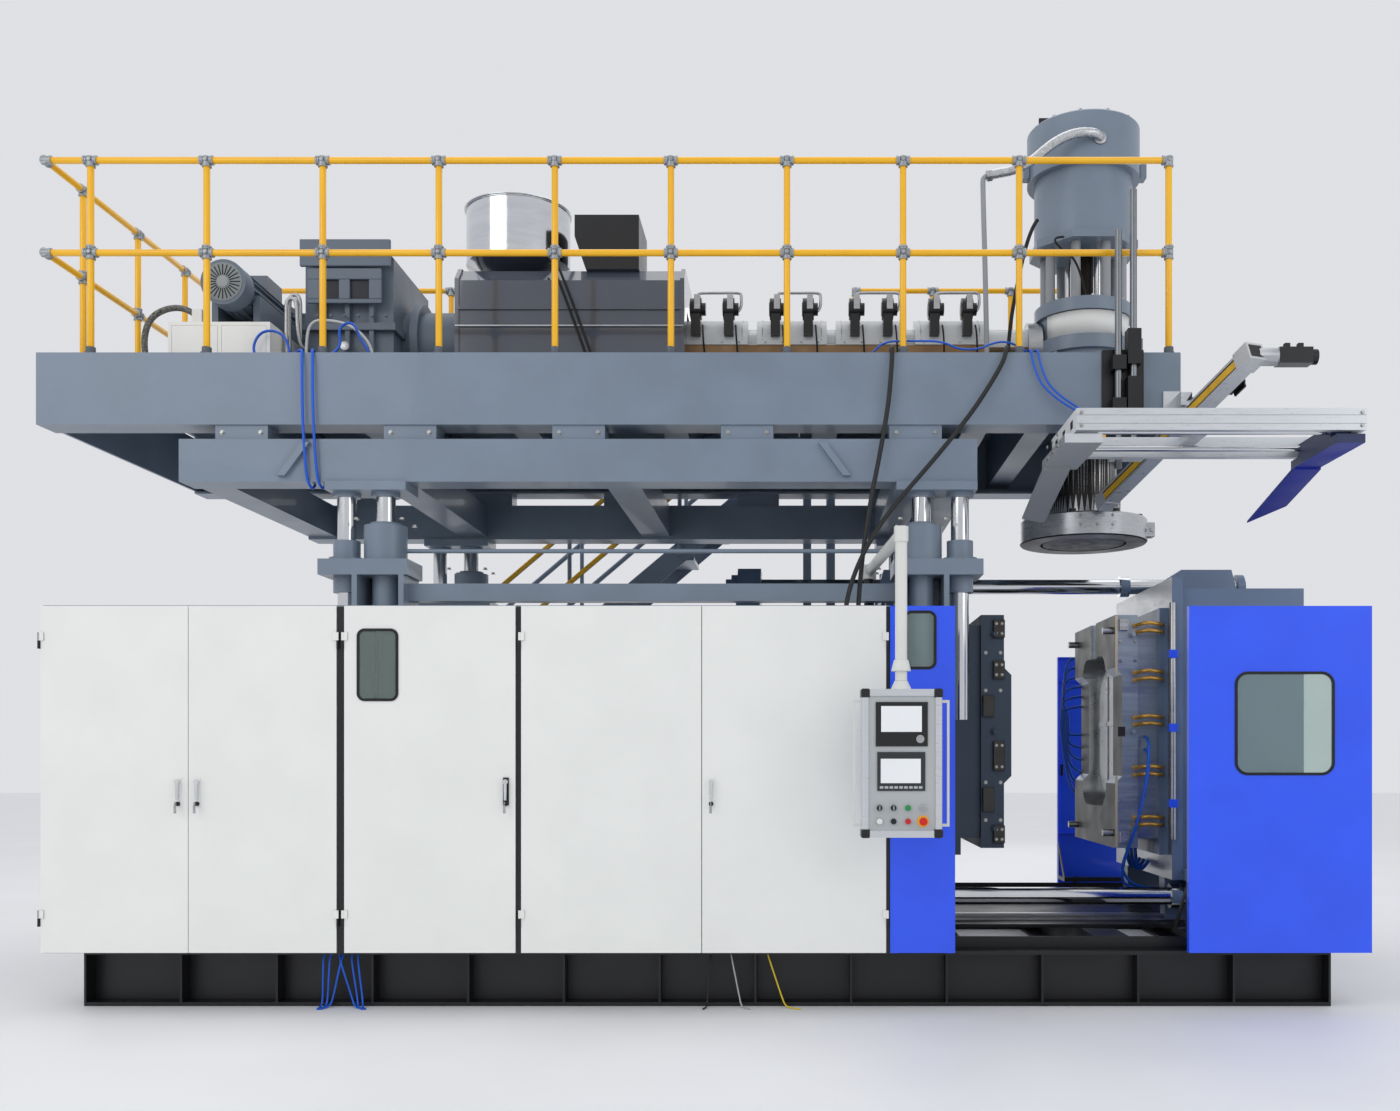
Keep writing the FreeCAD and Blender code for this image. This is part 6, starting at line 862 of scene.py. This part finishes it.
for k in range(6):
    high, low, out = 2.02 - 0.07 * k, 1.02 + 0.09 * k, 0.13 - 0.012 * k
    hanging.append(run("hose", [(2.500, 0.574, high), (2.440, 0.640, high),
                                (2.370 - 0.01 * k, 0.575 + out, high - 0.03),
                                (2.335 + 0.008 * k, 0.580 + out, (high + low) / 2 + 0.08),
                                (2.345 + 0.006 * k, 0.575 + out, (high + low) / 2 - 0.1),
                                (2.400, 0.640, low), (2.500, 0.574, low)], 0.009, blue_hose,
                       "right_platen", detail=4))
gather("mould_water_hoses", hanging, "right_platen")


# ---- The control box: a light aluminium frame with dark corner caps round a grey panel, hung
# on a white drop pipe, with two white screens and white grips at its sides.
pipe_white = coat("pipe_paint", shade(224, 225, 220), rough=0.35, shift=0.03, clear=0.2)
aluminium = coat("anodised_aluminium", shade(206, 209, 213), metallic=0.55, rough=0.32,
                 cloud=10, shift=0.03, grain=500, relief=0.012, stretch=(1, 1, 8))
panel_grey = coat("panel_paint", shade(178, 183, 184), rough=0.42, shift=0.03)
bezel = coat("screen_bezel", shade(24, 25, 28), rough=0.3, shift=0.06)
bezel_grey = coat("lower_bezel", shade(46, 49, 52), rough=0.36, shift=0.06)
screen_white = coat("blank_screen", shade(246, 249, 250), rough=0.12, shift=0.02, clear=0.5)
dress("hmi_arm", pipe_white)
dress("hmi_box", aluminium)
panel, upper_bezel = (0.824, 1.156, 0.95, 1.615), (0.86, 1.117, 1.365, 1.585)
lower_bezel = (0.867, 1.105, 1.146, 1.339)
dress("hmi_box", panel_grey, lambda c, n: within(c, panel) and (c.y < -2.1005 or c.y > -1.9985))
dress("hmi_box", bezel, lambda c, n: within(c, upper_bezel) and c.y < -2.1045)
dress("hmi_box", bezel_grey, lambda c, n: within(c, lower_bezel) and c.y < -2.1045)
dress("hmi_box", steel, lambda c, n: c.y < -2.1101 and c.x > 1.058)
dress("hmi_box", pipe_white, lambda c, n: c.x < 0.7905 or c.x > 1.1895 or c.z > 1.6485)
screen_bed = -2.1102
plate("upper_screen", (0.887, -2.1125, 1.437), (1.087, screen_bed, 1.564), 0.0008, screen_white,
      "hmi_box")
plate("lower_screen", (0.885, -2.1125, 1.185), (1.082, screen_bed, 1.305), 0.0008, screen_white,
      "hmi_box")
key = plate("key", (0.880, -2.1118, 1.158), (0.898, screen_bed, 1.170), 0.0006, panel_grey,
            "hmi_box")
gather("screen_keys", copies(key, [(0.024 * k, 0, 0) for k in range(9)]), "hmi_box")
low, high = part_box("hmi_box")
cap = plate("corner_cap", (-0.023, -2.1145, -0.023), (0.023, -1.9855, 0.023), 0.009, bezel,
            "hmi_box")
gather("corner_caps", copies(cap, [(x, 0, z) for x in (low.x + 0.06, high.x - 0.06)
                                   for z in (low.z + 0.02, high.z - 0.11)]), "hmi_box")
pipe_x = middle("hmi_box").x
turned("pipe_collar", (pipe_x, -2.05, high.z + 0.0005), (pipe_x, -2.05, high.z + 0.057), 0.05,
       0.003, pipe_white, "hmi_box", end_radius=0.036)


# ---- The switches: two rows of round plastic and metal controls in plated rings, screwed
# into the panel, with a yellow collar behind the stop button.
finishes = {"selector_1": black_plastic, "selector_2": black_plastic,
            "push_green": coat("green_button", shade(30, 140, 70), rough=0.3),
            "key_switch": steel,
            "push_white": coat("white_button", shade(230, 230, 226), rough=0.3),
            "push_black": black_plastic,
            "push_red": coat("red_button", shade(196, 34, 30), rough=0.3),
            "emergency_stop": coat("stop_button", shade(206, 28, 26), rough=0.28)}
stop_yellow = coat("stop_collar", shade(240, 170, 30), rough=0.35)
for name, finish in finishes.items():
    dress(name, finish)
switches = [name for name in finishes if name != "emergency_stop"]
for name in switches:
    x, y, z = middle(name)
    turned(name + "_lens", (x, -2.1150, z), (x, -2.1205, z), 0.0148, 0.0022, finishes[name], name,
           sides=28)
panel_skin = -2.1042
ring = turned("ring", (0, panel_skin, 0), (0, panel_skin - 0.0033, 0), 0.0165, 0.0008, steel,
              "hmi_box", sides=28)
rings = copies(ring, [(middle(name).x, 0, middle(name).z) for name in switches])
rings[switches.index("push_white")].data.materials[0] = grey_part
gather("switch_rings", rings, "hmi_box")
x, y, z = middle("emergency_stop")
turned("stop_ring", (x, panel_skin, z), (x, panel_skin - 0.0028, z), 0.029, 0.001, stop_yellow,
       "hmi_box")
for name in ("selector_1", "selector_2"):
    x, y, z = middle(name)
    plate(name + "_grip", (x - 0.0032, -2.1335, z - 0.011), (x + 0.0032, -2.1282, z + 0.011),
          0.001, grey_part, name)


# ---- The parison pinch: an aluminium profile frame hung on chromed rods, with white end
# plates, a deep-blue jaw and a grey one on round shafts.
deep_blue = coat("jaw_blue", shade(4, 38, 150), rough=0.6, shift=0.05)
navy = coat("carrier_navy", shade(30, 44, 84), rough=0.34, shift=0.08)
rod_steel = coat("guide_rod_steel", shade(126, 130, 134), metallic=0.9, rough=0.3, cloud=8,
                 shift=0.08)
white_plate = coat("white_end_plate", shade(226, 228, 228), rough=0.35, shift=0.03)
dress("pinch_frame", aluminium)
dress("pinch_frame", chrome, lambda c, n: 3.006 < c.z < 3.04 and -1.69 < c.y < -1.27
      and 1.936 < c.x < 3.377)
dress("pinch_frame", rod_steel, lambda c, n: c.z > 3.109 or c.z < 2.994)
dress("pinch_frame", white_plate, lambda c, n: c.x < 1.9115 or c.x > 3.4015)
dress("pinch_guide", black_paint)
dress("right_jaw", deep_blue)
dress("right_jaw", navy, lambda c, n: c.z > 2.936)
dress("left_jaw", grey_part)
dress("left_jaw", aluminium, lambda c, n: c.z > 2.936)
low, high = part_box("pinch_frame")
bolts("pinch_end_bolts", [(x, low.y - 0.0002, z) for x in (low.x + 0.024, high.x - 0.024)
                          for z in (3.018, 3.085)], (0, -1, 0), 0.008, 0.008, zinc,
      "pinch_frame")
# Painted shade: the end plates' slots are thin black strips, dark as the profile's inside.
slot_shade_strip = plate("slot_shade_strip", (0, 0, 3.030), (0.0012, 0.060, 3.072), 0.0005, black_plastic, "pinch_frame")
gather("end_plate_slot_shade", copies(slot_shade_strip, [(x, y, 0) for x in (low.x - 0.001, high.x - 0.0002)
                                        for y in (-1.72, -1.52, -1.32)]), "pinch_frame")
for jaw, x, out in (("left_jaw", 1.8525, -1), ("right_jaw", 3.4035, 1)):
    bolts(jaw + "_bolts", [(x, y, z) for y in (-1.62, -1.48, -1.34) for z in (2.96, 3.02)],
          (out, 0, 0), 0.008, 0.007, zinc, jaw)


# ---- The slanted belt axis: an extruded profile with a toothed belt along its side, a
# bright gearbox and a black servo motor at the near end.
dress("belt_axis", aluminium)
dress("belt_axis", steel, lambda c, n: c.y < -1.6 and 2.9175 < c.x < 2.9835)
dress("belt_axis", black_plastic, lambda c, n: c.y < -1.6 and c.x > 2.9835)
dress("belt_axis", black_paint, lambda c, n: 3.20 < c.z < 3.42 and -1.33 < c.y < -1.07
      and c.x > 2.64)
dress("belt_carriage", black_plastic)
belt_yellow = coat("belt_yellow", shade(214, 168, 48), rough=0.5, cloud=16, shift=0.1)
near, far = Vector((2.843, -1.697, 3.407)), Vector((2.371, -0.500, 2.888))
along = (far - near).normalized()
across = along.cross(Vector((0, 0, 1))).normalized()
below = along.cross(across)
axis_turn = Matrix((along, across, below)).transposed().to_4x4()
axis_place = Matrix.Translation(near) @ axis_turn
reach = (far - near).length
belt = plate("toothed_belt", (0.060, -0.0470, -0.0200), (reach - 0.050, -0.0420, 0.0200), 0.0008,
             belt_yellow, "deck")
belt.data.transform(axis_place)
edges = [plate("edge", (0.060, -0.0495, z), (reach - 0.050, -0.0400, z + 0.005), 0.0006,
               black_plastic, "deck") for z in (-0.0270, 0.0220)]
edges.append(plate("end_plate", (-0.0525, -0.040, -0.036), (-0.0500, 0.040, 0.036), 0.001,
                   black_plastic, "deck"))
for edge in edges:
    edge.data.transform(axis_place)
gather("belt_edge_strips", edges, "deck")
plug = plate("plug", (3.02, -1.712, 3.4485), (3.05, -1.682, 3.478), 0.003, black_plastic, "deck")
gather("servo_plugs", copies(plug, [(0, 0, 0), (0.07, 0, 0)]), "deck")


# ---- The supply cables: two black rubber-sheathed cables that leave glands on the deck, lie
# over its lip and drop to glands on the cabinet roof.
cable_black = coat("cable_sheath", shade(30, 31, 33), rough=0.5, cloud=30, shift=0.15)


for number, points in ((1, [(1.017, -0.883, 3.642), (1.016, -1.013, 3.662),
                            (1.014, -1.101, 3.656), (1.010, -1.113, 3.54),
                            (0.985, -1.111, 3.25), (0.834, -1.2, 2.5),
                            (0.812, -1.24, 2.122)]),
                       (2, [(1.683, -0.883, 3.642), (1.676, -1.013, 3.662),
                            (1.668, -1.101, 3.656), (1.640, -1.113, 3.54),
                            (1.4, -1.147, 3.17), (0.78, -1.29, 2.45),
                            (0.74, -1.3, 2.122)])):
    cable, centre = run("supply_cable_%d" % number, points, 0.013, cable_black, "deck",
                        loose=True)
    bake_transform(cable)
    if number == 1:
        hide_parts("supply_cables")
    x, y = points[-1][0], points[-1][1]
    turned("roof_gland_%d" % number, (x, y, 2.1005), (x, y, 2.128), 0.022, 0.003,
           black_plastic, "base", sides=12)
    x, y = points[0][0], points[0][1]
    turned("deck_gland_%d" % number, (x, y + 0.03, 3.645), (x, y - 0.004, 3.645), 0.019, 0.002,
           black_plastic, "deck", sides=12)


# ---- The air hoses: a pair of blue plastic hoses, pushed into brass fittings on the pinch
# unit.
for number, shift in ((1, 0.0), (2, 0.04)):
    points = [(1.79 + shift, -0.923, 3.634), (1.796 + shift, -1.033, 3.646),
              (1.804 + shift, -1.093, 3.64), (1.816 + shift, -1.101, 3.54),
              (1.88 + shift, -1.111, 3.39), (2.15 + shift, -1.185, 3.198),
              (2.16 + shift, -1.187, 3.122)]
    hose, centre = run("air_hose_%d" % number, points, 0.006, blue_hose, "deck", loose=True,
                       detail=4)
    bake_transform(hose)
    if number == 1:
        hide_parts("air_hoses")
    turned("air_fitting_%d" % number, (2.16 + shift, -1.187, 3.1085), (2.16 + shift, -1.187, 3.13),
           0.01, 0.001, brass, "pinch_frame", sides=6)


# ---- The hoses on the deck: two blue hoses rise from brass stubs, loop once on the deck and
# hang over its lip to the lifting frame, and a thin one lies along the deck's edge.
for number, start_x, loop in ((1, -2.36, [(-2.54, -0.760, 3.636), (-2.55, -0.750, 3.740),
                                           (-2.60, -0.740, 3.850), (-2.72, -0.740, 3.865),
                                           (-2.78, -0.745, 3.770), (-2.74, -0.770, 3.670),
                                           (-2.62, -0.880, 3.636), (-2.46, -0.970, 3.636)]),
                              (2, -2.30, [(-2.07, -0.760, 3.636), (-2.08, -0.750, 3.740),
                                          (-2.13, -0.740, 3.800), (-2.18, -0.740, 3.920),
                                          (-2.27, -0.740, 3.880), (-2.24, -0.760, 3.760),
                                          (-2.30, -0.850, 3.660), (-2.31, -0.970, 3.636)])):
    points = loop + [(start_x, -1.065, 3.652), (start_x + 0.012, -1.098, 3.610),
                     (start_x + 0.015, -1.102, 3.300), (start_x + 0.03, -1.108, 3.050),
                     (start_x + 0.04, -1.100, 2.900), (start_x + 0.05, -1.060, 2.850),
                     (start_x + 0.05, -1.010, 2.868), (start_x + 0.05, -1.000, 2.884)]
    hose, centre = run("hanging_hose_%d" % number, points, 0.008, blue_hose, "deck", loose=True,
                       detail=4)
    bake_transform(hose)
    x, y, z = points[0]
    turned("hose_stub_%d" % number, (x, y, 3.6265), (x, y, z + 0.014), 0.012, 0.001, brass, "deck",
           sides=6)
points = [(0.90, -0.985, 3.634), (0.92, -0.990, 3.670), (0.99, -0.995, 3.715),
          (1.12, -0.995, 3.716), (1.31, -0.995, 3.716), (1.40, -0.995, 3.668),
          (1.52, -0.990, 3.668), (1.60, -0.995, 3.705), (1.69, -0.995, 3.715),
          (1.80, -0.985, 3.660), (1.82, -0.980, 3.634)]
hose, centre = run("deck_hose", points, 0.006, blue_hose, "deck", loose=True, detail=4)
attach(hose, "deck")
for x, y in (points[0][:2], points[-1][:2]):
    turned("deck_hose_fitting", (x, y + 0.004, 3.626), (x, y + 0.004, 3.648), 0.011, 0.001,
           brass, "deck", sides=6)


# ---- Loose ends at the floor: a bunch of blue air hoses and three thin leads come out below
# the doors, drop over the base beam and lie on the floor in front of it.
lead_yellow = coat("yellow_lead", shade(226, 196, 40), rough=0.45, cloud=20, shift=0.08)
lead_grey = coat("grey_lead", shade(176, 178, 178), rough=0.45, cloud=20, shift=0.06)
loose_ends = [(-2.02 + 0.035 * k, 0.05 * (k % 3) - 0.06 * (k % 2), 0.005, blue_hose)
              for k in range(6)]
loose_ends += [(0.02, -0.02, 0.004, cable_black), (0.12, 0.06, 0.004, lead_grey),
               (0.31, 0.10, 0.004, lead_yellow)]
for number, (x, swing, radius, sheath) in enumerate(loose_ends, start=1):
    points = [(x, -1.610, 0.286), (x + swing * 0.1, -1.655, 0.270),
              (x + swing * 0.4, -1.664, 0.180), (x + swing * 0.8, -1.666, 0.060),
              (x + swing, -1.680, radius + 0.006), (x + swing * 1.3, -1.715, radius),
              (x + swing * 1.8, -1.745, radius)]
    lead, centre = run("loose_end_%d" % number, points, radius, sheath, "base", loose=True,
                       detail=4)
    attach(lead, "base")
